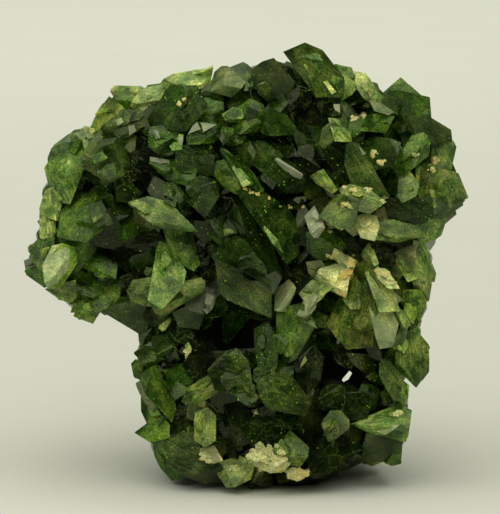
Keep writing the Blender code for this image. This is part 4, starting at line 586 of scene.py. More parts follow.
def finishCrystal(crystal, tone, wear, dice, lengthwise=Matrix.Identity(3), shade=1):
    # worn edges, then the tone, the worn faces, which get a painted highlight, and the crystal's own coordinates,
    # which run along it in x
    bpy.ops.mesh.select_all(action="SELECT")
    bpy.ops.mesh.remove_doubles(threshold=2e-6)
    bpy.ops.mesh.dissolve_degenerate(threshold=2e-6)
    bpy.ops.mesh.select_all(action="SELECT")
    bpy.ops.mesh.bevel(offset=wear * mm, segments=1, clamp_overlap=True, material=1)
    bpy.ops.mesh.select_all(action="SELECT")
    bpy.ops.mesh.normals_make_consistent(inside=False)
    bpy.ops.object.mode_set(mode="OBJECT")
    mesh = crystal.data
    glintFaces = [float(face.material_index == 1) for face in mesh.polygons]
    for face in mesh.polygons:
        face.material_index = 0
    shift = Vector((dice.uniform(0, 50), dice.uniform(0, 50), dice.uniform(0, 50)))
    ownPlaces = []
    for corner in mesh.loops:
        ownPlaces.extend(lengthwise @ mesh.vertices[corner.vertex_index].co / mm + shift)
    value = dice.uniform(0.85, 1.2) * shade
    colours = []
    for face in mesh.polygons:
        facet = value * dice.uniform(0.92, 1.08)
        colours.extend((*[c * facet for c in tones[tone]], 1))
    setAttribute(mesh, "grain", "FLOAT_VECTOR", "CORNER", "vector", ownPlaces)
    setAttribute(mesh, "tone", "FLOAT_COLOR", "FACE", "color", colours)
    setAttribute(mesh, "edgeGlint", "FLOAT", "FACE", "value", glintFaces)
    bpy.ops.object.transform_apply(location=True, rotation=True, scale=True)
    return crystal


def isClosed(mesh):
    uses = Counter(key for face in mesh.polygons for key in face.edge_keys)
    return all(count == 2 for count in uses.values())


def keepIn(collection, item):
    for old in list(item.users_collection):
        old.objects.unlink(item)
    collection.objects.link(item)


def newCollection(name):
    collection = bpy.data.collections.new(name)
    bpy.context.scene.collection.children.link(collection)
    return collection


def convexRim(rim):
    points = [Vector((across, -down)) for across, down in rim]
    return [points[i] for i in convex_hull_2d(points)]


def growFrontCrystal(name, out, lean, tone, rim, facets=2, shortest=None, shade=1):
    # the rim fills the given outline of the picture, and the body tapers back into the heart
    dice = random.Random(f"{name} {growth['seed']}")
    extraDice = random.Random(f"facets of {name}")
    corners = convexRim(rim)
    middle = sum(corners, Vector((0, 0))) / len(corners)
    size = math.sqrt(sum((c - middle).length_squared for c in corners) / len(corners))
    near = lobeFront(middle.x, -middle.y) + out
    shortest = shortest or out + growth["heartCover"] + growth["root"]
    depth = max(2 * size * dice.uniform(*growth["depth"]), shortest)
    scale = mm * (1 - near * mm / picture["eyeDistance"])
    place = fromPicture(middle.x, -middle.y, near)

    def cut(point, outward):
        cutFlat(place + pictureTurn @ (point * scale), pictureTurn @ outward)

    crystal = startCrystal(name, 16 * size * scale, place, pictureTurn)
    slope = (lean[0] * growth["lean"], lean[1] * growth["lean"])
    faceNormal = Vector((slope[0], slope[1], 1)).normalized()
    cut(Vector((0, 0, 0)), faceNormal)
    for i in range(len(corners)):
        start = corners[i] - middle
        along = corners[(i + 1) % len(corners)] - middle - start
        outward = Vector((along.y, -along.x)).normalized()
        if outward.dot(start) < 0:
            outward = -outward
        taper = dice.uniform(*growth["taper"])
        cut(Vector((start.x, start.y, 0)), Vector((outward.x, outward.y, -taper)))
        if dice.random() < growth["bevelOdds"]:
            width = size * dice.uniform(*growth["bevelWidth"])
            bevelSlope = dice.uniform(*growth["bevelSlope"])
            inside = start - outward * width
            height = -(slope[0] * inside.x + slope[1] * inside.y)
            bevel = Vector((outward.x * bevelSlope, outward.y * bevelSlope, 1))
            cut(Vector((inside.x, inside.y, height)), bevel)
    turn = dice.uniform(0, 2 * math.pi)
    for third in range(3):
        angle = turn + third * 2 * math.pi / 3
        tilt = Vector((math.cos(angle), math.sin(angle), 0)) * growth["backSlope"] - Vector((0, 0, 1))
        cut(Vector((0, 0, -depth)), tilt)
    for facet in range(facets):
        # a vicinal face, which leans a little off the main one and takes part of it
        angle = extraDice.uniform(0, 2 * math.pi)
        aside = Vector((math.cos(angle), math.sin(angle), 0))
        tilt = extraDice.uniform(*growth["facetTilt"])
        inside = aside * size * extraDice.uniform(-0.1, 0.5)
        inside.z = -(slope[0] * inside.x + slope[1] * inside.y)
        cut(inside, faceNormal + aside * tilt)
    ends = max(((a - b) for a in corners for b in corners), key=lambda gap: gap.length_squared)
    lengthwise = Matrix.Rotation(-math.atan2(ends.y, ends.x), 3, "Z")
    return finishCrystal(crystal, tone, growth["edgeWear"], extraDice, lengthwise, shade)


def remove(items):
    for item in list(items):
        bpy.data.objects.remove(item)


def grow(crystal):
    # a crystal whose cuts left it open would spoil the body, so it is dropped
    if isClosed(crystal.data):
        keepIn(grown, crystal)
    else:
        print("dropped:", crystal.name)
        remove([crystal])
    if len(grown.objects) >= growth["batch"]:
        growTogether(body, grown)


# Smaller crystals in parallel growth with a big one: how many, their size beside it, and their step
companions = {
    "seed": 3, "number": (1, 3), "size": (0.3, 0.6), "shift": (0.25, 0.7), "step": (0.05, 0.45),
    "tilt": 0.12, "shade": (0.7, 1.3), "smallest": 1.5, "plain": ["slate", "shade", "ash", "milk"],
}


def growCompanions(name, out, lean, tone, rim):
    dice = random.Random(f"companions of {name} {companions['seed']}")
    corners = convexRim(rim)
    middle = sum(corners, Vector((0, 0))) / len(corners)
    reach = max((c - middle).length for c in corners)
    if tone in companions["plain"] or reach < companions["smallest"]:
        return
    for i in range(dice.randint(*companions["number"])):
        size = dice.uniform(*companions["size"])
        shift = min(dice.uniform(*companions["shift"]), 1 - size)
        corner = middle.lerp(dice.choice(corners), shift)
        small = [(corner.x + (c.x - middle.x) * size, -corner.y - (c.y - middle.y) * size) for c in corners]
        tilted = (lean[0] + dice.gauss(0, companions["tilt"]), lean[1] + dice.gauss(0, companions["tilt"]))
        inward = (corner - middle).length * companions["tilt"]
        step = out + dice.uniform(*companions["step"]) - inward
        shade = dice.uniform(*companions["shade"])
        grow(growFrontCrystal(f"{name}_{i}", step, tilted, tone, small, 1, None, shade))


# The massive heart of each lobe, which the crystals grow out of: its rim in the picture, how far it
# stays inside that rim, and how far it stays under the lobe's surface
hearts = {
    "crown": (2.4, 3.5, [
        (4.2, 16.5), (5.0, 14.6), (11.4, 8.7), (17.0, 7.8), (24.0, 6.6), (30.0, 6.6), (35.5, 7.2),
        (41.5, 9.8), (43.4, 12.0), (45.6, 15.0), (46.4, 19.4), (44.6, 21.6), (42.2, 24.8), (41.0, 31.0),
        (13.0, 32.0), (6.8, 30.6), (3.2, 27.0)]),
    "foot": (2.2, 2.8, [
        (13.6, 28.0), (43.0, 28.0), (42.6, 37.0), (41.0, 42.4), (40.0, 46.8), (32.0, 50.6),
        (21.0, 51.8), (17.6, 50.0), (15.6, 46.2), (14.2, 41.0), (13.4, 36.0)]),
    "leftArm": (1.5, 2.4, [
        (3.6, 19.0), (10.0, 16.6), (16.0, 20.0), (16.6, 33.0), (9.8, 31.8), (6.8, 30.8), (2.6, 27.2)]),
    "rightHip": (1.5, 3.0, [
        (33.0, 20.0), (41.0, 20.0), (43.2, 24.8), (43.4, 27.4), (42.6, 32.0), (42.4, 37.6), (34.0, 38.0)]),
}
heartFaces = 90

# Hollows between the crystals: depth below the lobe's surface and rim in the picture
hollows = {
    "mainHollow": (6.5, [(19.9, 31.2), (22.4, 30.8), (26.6, 32.3), (25.6, 34.8), (20.2, 35.2)]),
    "leftRecess": (4.0, [
        (8.2, 24.4), (12.0, 23.6), (15.2, 25.0), (13.4, 27.6), (12.0, 28.6), (8.2, 28.0)]),
    "rightPocket": (7.0, [(31.0, 34.8), (36.4, 35.4), (36.9, 37.4), (35.4, 39.4), (31.4, 40.0)]),
    "cave": (4.4, [
        (22.0, 40.4), (25.8, 40.2), (27.2, 42.4), (26.4, 44.2), (24.0, 45.0), (22.2, 44.0)]),
    "rightGap": (3.4, [(37.9, 24.4), (40.6, 26.0), (40.6, 27.9), (39.0, 26.6)]),
    "crownGap": (3.0, [(29.4, 10.2), (32.6, 10.2), (33.6, 12.6), (31.4, 14.4), (29.6, 13.0)]),
}
hollowMouth = 30
# The one gap that shows daylight from the front, and how it opens out towards the back
window = {"rim": [(34.3, 37.9), (34.9, 37.2), (35.1, 37.4), (34.8, 37.9), (34.4, 38.1)],
          "span": (12.0, -14.0), "flare": 1.6}


def massHeart(lobe):
    inset, cover, rim = hearts[lobe]
    centre, half, front, back = lobes[lobe]
    origin = fromPicture(0, 0, 0)
    middle = Vector((centre[0], -centre[1], 0))
    heart = startCrystal(f"{lobe}Heart", 120 * mm, origin + pictureTurn @ middle * mm, pictureTurn)
    corners = convexRim(rim)
    for i in range(len(corners)):
        along = corners[(i + 1) % len(corners)] - corners[i]
        outward = Vector((along.y, -along.x)).normalized()
        inside = corners[i] - outward * inset
        point = Vector((inside.x, inside.y, 0))
        cutFlat(origin + pictureTurn @ point * mm, pictureTurn @ outward.to_3d())
    for i in range(heartFaces):
        height = 1 - (2 * i + 1) / heartFaces
        turn = i * math.pi * (3 - math.sqrt(5))
        flat = math.sqrt(1 - height * height)
        outward = Vector((flat * math.cos(turn), flat * math.sin(turn), height))
        reach = front if height > 0 else back
        radii = (half[0] - inset, half[1] - inset, reach - cover)
        support = math.sqrt(sum((outward[k] * radii[k]) ** 2 for k in range(3)))
        cutFlat(origin + pictureTurn @ (middle + outward * support) * mm, pictureTurn @ outward)
    # the heart is painted in the shade tone, near-black where it shows between the crystals
    return finishCrystal(heart, "shade", growth["edgeWear"], random.Random(lobe))


def pictureBlock(name, frontRim, backRim, near, far):
    # a closed block between two outlines of the picture, at two distances from the eye
    deselectAll()
    bpy.ops.mesh.primitive_circle_add(vertices=len(frontRim), fill_type="NGON")
    block = bpy.context.object
    block.name = name
    bpy.ops.object.mode_set(mode="EDIT")
    bpy.ops.mesh.select_all(action="SELECT")
    bpy.ops.mesh.extrude_region_move(TRANSFORM_OT_translate={"value": (0, 0, 1)})
    bpy.ops.object.mode_set(mode="OBJECT")
    around = len(frontRim)
    for v in block.data.vertices:
        rim, depth = (frontRim, near) if v.co.z > 0.5 else (backRim, far)
        angle = math.atan2(v.co.y, v.co.x) % (2 * math.pi)
        corner = rim[round(angle / (2 * math.pi) * around) % around]
        v.co = fromPicture(corner.x, -corner.y, depth)
    bpy.ops.object.mode_set(mode="EDIT")
    bpy.ops.mesh.select_all(action="SELECT")
    bpy.ops.mesh.normals_make_consistent(inside=False)
    bpy.ops.object.mode_set(mode="OBJECT")
    return block


def addBoolean(item, operation, other):
    step = item.modifiers.new(other.name, "BOOLEAN")
    step.operation = operation
    step.solver = "MANIFOLD"
    if isinstance(other, bpy.types.Collection):
        step.operand_type = "COLLECTION"
        step.collection = other
    else:
        step.object = other


def applyAll(item):
    pick(item)
    for step in list(item.modifiers):
        bpy.ops.object.modifier_apply(modifier=step.name)


def growTogether(item, collection):
    # one closed body out of all the crystals, which replaces them
    addBoolean(item, "UNION", collection)
    applyAll(item)
    remove(collection.objects)


def hollowedHeart():
    lumps = [massHeart(lobe) for lobe in hearts]
    cutters = []
    for name, (depth, rim) in hollows.items():
        corners = convexRim(rim)
        middle = sum(corners, Vector((0, 0))) / len(corners)
        floor = lobeFront(middle.x, -middle.y) - depth
        cutters.append(pictureBlock(name, corners, corners, hollowMouth, floor))
    for lump in lumps[1:]:
        addBoolean(lumps[0], "UNION", lump)
    for cutter in cutters:
        addBoolean(lumps[0], "DIFFERENCE", cutter)
    applyAll(lumps[0])
    remove(lumps[1:] + cutters)
    return lumps[0]


body = hollowedHeart()
print("heart and hollows")

grown = newCollection("grownCrystals")
for name, (out, lean, tone, rim) in frontCrystals.items():
    grow(growFrontCrystal(name, out, lean, tone, rim))
    growCompanions(name, out, lean, tone, rim)
growTogether(body, grown)
print("front crystals")

# Uvite's own habit: a short six-sided prism with three low pyramid faces, which slope by these
habit = {"lowSlope": math.radians(27.3), "steepSlope": math.radians(45.9), "reach": (0.72, 1.12),
         "steepOdds": 0.3, "flatEndOdds": 0.35}


def growUviteCrystal(name, place, axis, halfWidth, halfLength, tone, wear, dice):
    turn = dice.uniform(0, 2 * math.pi)
    upright = axis.to_track_quat("Z", "Y").to_matrix()
    crystal = startCrystal(name, 8 * max(halfWidth, halfLength), place, upright)

    def cut(point, outward):
        cutFlat(place + upright @ point, upright @ outward)

    for side in range(6):
        angle = turn + side * math.pi / 3
        outward = Vector((math.cos(angle), math.sin(angle), 0))
        cut(outward * halfWidth * dice.uniform(*habit["reach"]), outward)
    steepEnd = dice.random() < habit["steepOdds"]
    for side in range(3):
        facing = turn + math.pi / 6 + side * 2 * math.pi / 3
        flat = Vector((math.cos(facing), math.sin(facing), 0))
        low = flat * math.sin(habit["lowSlope"]) + Vector((0, 0, math.cos(habit["lowSlope"])))
        cut(Vector((0, 0, halfLength * dice.uniform(0.75, 1.0))), low)
        if steepEnd:
            steep = -flat * math.sin(habit["steepSlope"]) + Vector((0, 0, math.cos(habit["steepSlope"])))
            cut(Vector((0, 0, halfLength * dice.uniform(0.95, 1.25))), steep)
    if dice.random() < habit["flatEndOdds"]:
        cut(Vector((0, 0, halfLength * dice.uniform(0.6, 0.85))), Vector((0, 0, 1)))
    cut(Vector((0, 0, -halfLength)), Vector((0, 0, -1)))
    return finishCrystal(crystal, tone, wear, random.Random(name), Matrix.Rotation(math.pi / 2, 3, "Y"))


sides = {
    "seed": 27, "count": 72, "size": (1.9, 4.0), "sink": (1.0, 0.45), "tries": 30000, "buried": 0.6,
    "lift": 0.6, "shares": (0.5, 0.82, 0.92, 1.0), "front": 0.25, "clearance": 1.0, "drawStep": 0.05,
    "spread": 0.66, "facing": 0.15, "edge": 2.2, "overhang": 0.2, "inward": 0.07, "moves": 9,
    "middle": (24.5, 24.0), "leanOut": math.radians(48),
    "tones": ["moss", "bottle", "moss", "leaf", "leek", "bottle", "moss", "olive", "fern", "pale"],
}


heartRims = [convexRim(rim) for inset, cover, rim in hearts.values()]
frontRims = [convexRim(rim) for out, lean, tone, rim in frontCrystals.values()]


def clearance(across, down, rims=heartRims):
    # how far inside the rims this place of the picture lies
    place = Vector((across, -down))
    best = -99.0
    for corners in rims:
        least = 99.0
        for i, corner in enumerate(corners):
            along = (corners[(i + 1) % len(corners)] - corner).normalized()
            least = min(least, (place - corner).dot(Vector((-along.y, along.x))))
        best = max(best, least)
    return best


def sticksOut(places):
    # whether any of these places of the picture shows beside the crystals of the front
    for across, down in places:
        nearEdge = clearance(across, down) < sides["edge"]
        if nearEdge and clearance(across, down, frontRims) < -sides["overhang"]:
            return True
    return False


eye = fromPicture(*picture["centre"], 0) + nearAxis * picture["eyeDistance"]


def nearness(point):
    return (point + Vector((0, picture["footBack"] * mm, 0))).dot(nearAxis) / mm


def placeInPicture(point):
    sight = point - eye
    scale = picture["eyeDistance"] / -sight.dot(nearAxis) / mm
    return (picture["centre"][0] + sight.dot(rightAxis) * scale,
            picture["centre"][1] - sight.dot(upAxis) * scale)


def drawnIn(across, down, centre, room):
    while clearance(across, down) < room:
        across += (centre[0] - across) * sides["drawStep"]
        down += (centre[1] - down) * sides["drawStep"]
    return across, down


def insideLobe(lobe, across, down, near):
    centre, half, front, back = lobe
    return ((across - centre[0]) / half[0]) ** 2 + ((down - centre[1]) / half[1]) ** 2 + (near / back) ** 2


def sidePlaces(dice):
    found = []
    lobeList = list(lobes.values())
    for attempt in range(sides["tries"]):
        if len(found) == sides["count"]:
            break
        draw = dice.random()
        index = next(i for i, share in enumerate(sides["shares"]) if draw <= share)
        centre, half, front, back = lobeList[index]
        direction = Vector((dice.gauss(0, 1), dice.gauss(0, 1), dice.gauss(0, 1))).normalized()
        if direction.z > sides["front"]:
            continue
        halfWidth = dice.uniform(*sides["size"])
        across = centre[0] + direction.x * (half[0] - sides["sink"][0] * halfWidth)
        down = centre[1] - direction.y * (half[1] - sides["sink"][0] * halfWidth)
        near = direction.z * (back - sides["sink"][1] * halfWidth)
        across, down = drawnIn(across, down, centre, sides["clearance"] * halfWidth)
        others = [lobe for lobe in lobeList if lobe is not lobeList[index]]
        place = fromPicture(across, down, near)
        if any(insideLobe(lobe, across, down, near) < sides["buried"] for lobe in others):
            continue
        if place.z < halfWidth * mm * sides["lift"]:
            continue
        if any((place - p).length < sides["spread"] * (halfWidth + w) * mm for p, o, w in found):
            continue
        outward = (rightAxis * direction.x / half[0] + upAxis * direction.y / half[1]
                   + nearAxis * direction.z / back).normalized()
        found.append((place, outward, halfWidth))
    return [side for side in found if side[1].dot(nearAxis) < sides["facing"]]


def growSides():
    dice = random.Random(sides["seed"])
    for i, (place, outward, halfWidth) in enumerate(sidePlaces(dice)):
        sideways = outward.orthogonal().normalized()
        lean = Matrix.Rotation(dice.uniform(0, 2 * math.pi), 3, outward) @ sideways
        axis = Matrix.Rotation(dice.uniform(0, 1) ** 0.6 * sides["leanOut"], 3, lean) @ outward
        halfLength = halfWidth * dice.uniform(0.75, 1.5)
        tone = sides["tones"][i % len(sides["tones"])]
        name = f"side_{i:03d}"
        middle = fromPicture(*sides["middle"], nearness(place))
        for move in range(sides["moves"]):
            crystal = growUviteCrystal(name, place, axis, halfWidth * mm, halfLength * mm, tone,
                                       growth["edgeWear"], random.Random(name))
            if not sticksOut([placeInPicture(vertex.co) for vertex in crystal.data.vertices]):
                grow(crystal)
                break
            # it would show beside the front, so it grows further in
            place = place.lerp(middle, sides["inward"])
            remove([crystal])


growSides()
print("side crystals")


growTogether(body, grown)
print("grown together:", len(body.data.polygons), "faces")


def surfaceTree(item):
    return BVHTree.FromObject(item, bpy.context.evaluated_depsgraph_get())


def surfaceAt(tree, across, down):
    # the point that shows at this place of the picture, which way it faces, and its face
    aim = (fromPicture(across, down, 0) - eye).normalized()
    point, normal, index, distance = tree.ray_cast(eye, aim)
    return point, normal, index


def insideRim(corners, place):
    # corners run anticlockwise
    for i, corner in enumerate(corners):
        along = corners[(i + 1) % len(corners)] - corner
        if along.cross(place - corner) < 0:
            return False
    return True


fillers = {
    "seed": 41, "tries": 6000, "most": 160, "size": (0.9, 2.4), "spread": 0.55, "gap": 1.1, "bare": 0.03,
    "out": (-1.5, -0.1), "passes": (1, 0.6), "stretch": (1.0, 2.2), "jitter": 0.4, "shade": 0.5, "depthShade": 0.22,
    # painted shade: the darker tones that stand in for pale ones down in a gap
    "darker": {"pale": "moss", "milk": "leek", "cream": "olive", "ash": "moss", "lime": "leaf", "slate": "bottle",
               "shade": "bottle"},
    # where the front lies in deep shade, and how wide
    "dusk": [
        ((14.2, 16.8), 2.0), ((11.8, 26.0), 3.0), ((15.0, 24.0), 1.3), ((20.5, 26.0), 1.9), ((31.0, 11.5), 2.6),
        ((31.6, 16.0), 1.5), ((29.2, 26.5), 1.5), ((39.0, 25.5), 1.4), ((23.5, 33.0), 4.2), ((33.4, 37.8), 3.6),
        ((24.4, 43.0), 2.9), ((18.6, 42.0), 1.4), ((33.0, 45.5), 2.4), ((16.4, 31.8), 1.0), ((17.0, 34.6), 1.8),
        ((16.8, 37.4), 1.6), ((18.6, 36.4), 1.6), ((27.0, 42.6), 1.4),
    ],
    # hollows that stay open
    "open": [
        [(18.6, 30.6), (21.6, 29.6), (27.0, 31.6), (26.8, 35.2), (19.4, 35.6)],
        [(30.6, 35.0), (36.6, 35.0), (37.2, 38.2), (35.6, 40.0), (31.0, 40.2)],
    ],
}


def inDusk(across, down):
    return any(math.hypot(across - x, down - y) < radius for (x, y), radius in fillers["dusk"])


def nearestTone(across, down):
    # the tone of the named crystal nearest to this place of the picture, with painted shade: the shade tone where
    # the front lies in deep shade, and a darker tone in place of a pale one
    if inDusk(across, down):
        return "shade"
    best = None
    for out, lean, tone, rim in frontCrystals.values():
        middle = [sum(place[axis] for place in rim) / len(rim) for axis in (0, 1)]
        gap = math.hypot(middle[0] - across, middle[1] - down)
        if best is None or gap < best[0]:
            best = (gap, tone)
    return fillers["darker"].get(best[1], best[1])


def fillGaps(item, fineness):
    # crystals wherever the front still shows the bare heart, but not in the hollows
    dice = random.Random(fillers["seed"])
    tree = surfaceTree(item)
    greens = [face.color[1] for face in item.data.attributes["tone"].data]
    openRims = [convexRim(rim) for depth, rim in hollows.values()]
    openRims += [convexRim(rim) for rim in fillers["open"]]
    placed = []
    for attempt in range(fillers["tries"]):
        if len(placed) == fillers["most"]:
            break
        across = dice.uniform(2.5, 46.5)
        down = dice.uniform(5, 49)
        size = dice.uniform(*fillers["size"]) * fineness
        point, normal, index = surfaceAt(tree, across, down)
        if point is None or lobeFront(across, down) - nearness(point) < fillers["gap"]:
            continue
        if greens[index] > fillers["bare"]:
            continue
        if clearance(across, down) < size * 0.8:
            continue
        place = Vector((across, -down))
        if any(insideRim(rim, place) for rim in openRims):
            continue
        if any((place - p).length < fillers["spread"] * (size + s) for p, s in placed):
            continue
        turn = dice.uniform(0, math.pi)
        stretch = dice.uniform(*fillers["stretch"])
        rim = []
        for corner in range(6):
            angle = corner * math.pi / 3 + dice.uniform(-0.3, 0.3)
            reach = size * dice.uniform(0.8, 1.1)
            x = math.cos(angle) * reach * stretch ** 0.5
            y = math.sin(angle) * reach / stretch ** 0.5
            rim.append((across + x * math.cos(turn) - y * math.sin(turn),
                        down + x * math.sin(turn) + y * math.cos(turn)))
        if sticksOut(rim):
            continue
        placed.append((place, size))
        lean = lobeLean(across, down)
        lean = (lean[0] + dice.gauss(0, fillers["jitter"]), lean[1] + dice.gauss(0.1, fillers["jitter"]))
        if inDusk(across, down):
            # these face the viewer, so that they mirror no light
            lean = (lean[0] * 0.3, lean[1] * 0.15)
        out = dice.uniform(*fillers["out"])
        tone = nearestTone(across, down)
        # painted shade: every filler is darker than its tone, and the deeper it sits in the gap, the darker it is
        # painted
        shade = fillers["shade"] + (out - fillers["out"][1]) * fillers["depthShade"]
        name = f"filler_{fineness}_{len(placed):03d}"
        grow(growFrontCrystal(name, out, lean, tone, rim, 1, None, shade))
    return len(placed)


def lobeLean(across, down):
    # which way the lobe's surface faces here, as a lean to the right and upwards
    best = None
    for centre, half, front, back in lobes.values():
        x = (across - centre[0]) / half[0]
        y = (down - centre[1]) / half[1]
        rest = 1 - x * x - y * y
        if rest > 0 and (best is None or front * math.sqrt(rest) > best[0]):
            near = front * math.sqrt(rest)
            best = (near, x * front * front / (half[0] * near), -y * front * front / (half[1] * near))
    if best is None:
        return (0, 0)
    return tuple(max(-0.5, min(0.5, value * 0.6)) for value in best[1:])


for fineness in fillers["passes"]:
    count = fillGaps(body, fineness)
    growTogether(body, grown)
    print("crystals in the gaps:", count)

# Small facets and shards on the big crystals: how far each stands out from what is under it, its lean,
# its tone, and its rim in the picture
shards = {
    "square_facet": (0.3, (0.0, 0.3), "frost", [(14.8, 12.9), (15.8, 12.9), (16.0, 13.8), (15.1, 14.1)]),
    "pale_bar": (0.3, (0.0, 0.4), "frost", [(14.9, 15.6), (17.0, 16.0), (16.9, 16.5), (15.0, 16.1)]),
    "top_shard": (0.3, (0.2, 0.2), "frost", [(24.4, 9.1), (24.6, 8.0), (24.9, 9.1)]),
    "tower_facet": (0.15, (-0.3, 0.4), "pale", [(30.0, 6.6), (30.5, 6.0), (30.8, 6.8), (30.6, 7.6)]),
    "tower_groove": (0.15, (0.4, 0.4), "leek", [(31.5, 5.7), (32.4, 6.8), (31.9, 7.2), (31.2, 6.2)]),
    "left_flash": (0.4, (-0.3, 0.4), "frost", [(18.8, 13.4), (19.2, 12.6), (19.7, 12.1), (20.0, 12.9)]),
    "right_flash": (0.35, (0.2, 0.5), "frost", [(20.0, 12.2), (22.0, 12.4), (20.4, 13.1)]),
    "notched_flash": (0.3, (0.1, 0.2), "frost", [(17.2, 14.8), (17.6, 13.8), (18.4, 13.2), (18.3, 14.7)]),
    "grey_flat": (0.6, (0.1, 0.35), "frost",
        [(27.3, 16.0), (27.8, 15.6), (30.3, 17.4), (30.2, 18.0), (29.2, 17.7), (28.0, 16.8)]),
    "broad_line": (0.12, (-0.2, 0.3), "leek", [(24.3, 20.1), (24.5, 19.9), (28.7, 25.5), (28.4, 25.7)]),
    "tower_streak": (0.15, (0.2, 0.4), "pale", [(31.9, 7.6), (32.3, 7.4), (33.6, 9.2), (33.2, 9.4)]),
    "tower_cap": (0.15, (0.2, 0.5), "leek", [(29.2, 5.5), (30.5, 4.7), (32.0, 5.3), (32.6, 6.6), (30.6, 6.4)]),
    "boulder_chip": (0.25, (-0.1, 0.3), "leaf", [(9.0, 15.6), (10.2, 15.0), (10.8, 15.8), (9.6, 16.6)]),
    "slab_chip": (0.25, (0.1, 0.3), "leek", [(8.8, 21.0), (9.8, 20.4), (10.4, 21.6), (9.4, 22.2)]),
    "beam_rim": (0.15, (0.3, 0.5), "ash", [(41.8, 10.9), (45.3, 12.8), (45.3, 13.1), (41.7, 11.2)]),
    "block_rim": (0.15, (0.0, 0.5), "ash", [(39.3, 9.2), (43.0, 9.8), (43.0, 10.0), (39.2, 9.5)]),
    "lath_edge": (0.25, (-0.4, 0.4), "pale", [(22.1, 15.2), (22.5, 15.1), (24.6, 18.3), (24.3, 18.5)]),
    "half_moon": (0.4, (0.0, 0.5), "frost", [(22.0, 19.3), (22.4, 18.6), (23.7, 18.8), (22.3, 19.5)]),
    "right_square": (0.3, (0.2, 0.3), "frost", [(33.3, 10.4), (34.1, 10.3), (34.0, 11.3), (33.5, 11.0)]),
    "right_shard": (0.4, (0.2, 0.2), "frost", [(35.8, 14.5), (36.7, 15.4), (36.3, 15.6)]),
    "left_strip": (0.2, (-0.4, 0.1), "pale", [(4.9, 18.6), (5.3, 18.6), (6.2, 19.9), (5.9, 20.1)]),
    "left_square": (0.3, (-0.5, 0.0), "frost",
        [(2.3, 26.2), (3.0, 25.9), (3.2, 26.2), (3.1, 26.9), (2.4, 26.8)]),
    "recess_streak": (0.4, (0.0, 0.5), "leek", [(8.4, 26.6), (10.5, 27.7), (10.3, 28.1), (8.5, 27.1)]),
    "hexagon_shard": (0.5, (0.2, 0.3), "frost", [(20.6, 29.2), (21.6, 29.6), (21.1, 30.5), (20.5, 30.3)]),
    "hexagon_splinter": (0.4, (0.1, 0.4), "frost", [(20.3, 30.9), (21.0, 30.7), (20.7, 31.5)]),
    "waist_blade": (0.5, (0.3, 0.3), "pale", [(15.7, 32.8), (17.0, 31.5), (17.2, 32.2), (16.2, 33.3)]),
    "yellow_chip": (0.3, (0.0, 0.3), "pale", [(22.2, 22.8), (23.0, 22.8), (23.7, 23.4), (22.4, 23.7)]),
    "twin_flake": (0.4, (0.0, 0.4), "frost",
        [(30.1, 31.2), (30.3, 30.0), (31.0, 29.2), (32.0, 29.5), (30.7, 31.3)]),
    "twin_flake_low": (0.3, (0.1, 0.4), "pale", [(30.3, 32.2), (31.2, 31.9), (31.7, 32.8)]),
    "hip_flake": (0.4, (0.1, 0.3), "ash", [(39.3, 29.0), (40.4, 30.0), (39.6, 30.3)]),
    "hip_streak": (0.3, (0.3, 0.2), "pale", [(39.8, 30.5), (41.1, 32.2), (40.6, 33.0), (39.6, 31.2)]),
    "cheek_strip": (0.2, (0.5, 0.0), "pale", [(43.0, 19.0), (43.5, 19.0), (43.8, 20.8), (43.3, 20.8)]),
    "pocket_shard": (0.3, (0.0, 0.3), "pale", [(31.5, 38.8), (32.0, 38.7), (31.6, 40.2)]),
    "pocket_sliver": (0.3, (0.3, 0.3), "pale", [(30.0, 36.8), (30.5, 35.4), (30.8, 36.0)]),
    "wedge_foot": (0.3, (0.1, 0.3), "frost", [(33.1, 33.0), (33.8, 33.2), (34.8, 34.5), (33.7, 34.5)]),
    "cream_lens": (0.25, (0.1, 0.5), "milk", [(37.0, 43.2), (39.0, 41.9), (40.2, 42.4), (38.5, 43.5)]),
    "leaf_lip": (0.3, (0.0, 0.4), "pale", [(32.4, 43.5), (33.8, 43.7), (34.9, 42.7), (33.8, 44.4)]),
    "star_flake": (0.4, (0.1, 0.4), "cream", [(38.2, 22.0), (38.8, 21.3), (38.5, 22.4)]),
    "crown_flake": (0.3, (-0.1, 0.4), "milk", [(11.5, 12.0), (12.1, 11.7), (12.4, 12.2), (11.8, 12.6)]),
    "crown_chip": (0.3, (0.1, 0.4), "frost", [(12.8, 12.6), (13.5, 12.4), (13.6, 13.1), (13.0, 13.4)]),
    "foot_flake": (0.3, (0.0, 0.3), "cream", [(19.8, 45.0), (21.0, 44.7), (22.0, 46.0), (20.8, 46.2)]),
    "sill_flake": (0.3, (-0.1, 0.4), "pale", [(18.4, 34.5), (18.9, 34.1), (19.2, 34.9), (18.6, 35.8)]),
}


def addShards(item):
    tree = surfaceTree(item)
    for name, (raised, lean, tone, rim) in shards.items():
        corners = convexRim(rim)
        middle = sum(corners, Vector((0, 0))) / len(corners)
        point, normal, index = surfaceAt(tree, middle.x, -middle.y)
        out = raised
        if point is not None:
            out += nearness(point) - lobeFront(middle.x, -middle.y)
        grow(growFrontCrystal(name, out, lean, tone, rim, 0, 1.2))


addShards(body)
growTogether(body, grown)
print("shards:", len(shards))

crystallites = {
    "seed": 5, "variants": 10, "front": 60, "back": 420, "frontSize": (0.15, 0.4), "backSize": (0.5, 1.5),
    "creaseShare": 0.7, "wear": 0.07,
    "lighter": (0.5, 1.2), "paleOdds": 0.1, "frontEnds": -2,
}


def modelCrystallites():
    # a few small crystals, 1 mm in half width, which are copied all over
    dice = random.Random(crystallites["seed"])
    models = []
    for i in range(crystallites["variants"]):
        crystal = growUviteCrystal(f"crystallite_{i}", Vector((0, 0, 0)), Vector((0, 0, 1)), mm,
                                   mm * dice.uniform(0.9, 1.8), "moss", crystallites["wear"], dice)
        models.append(crystal)
    return models


def centreOf(face):
    return tuple(face.calc_center_median())


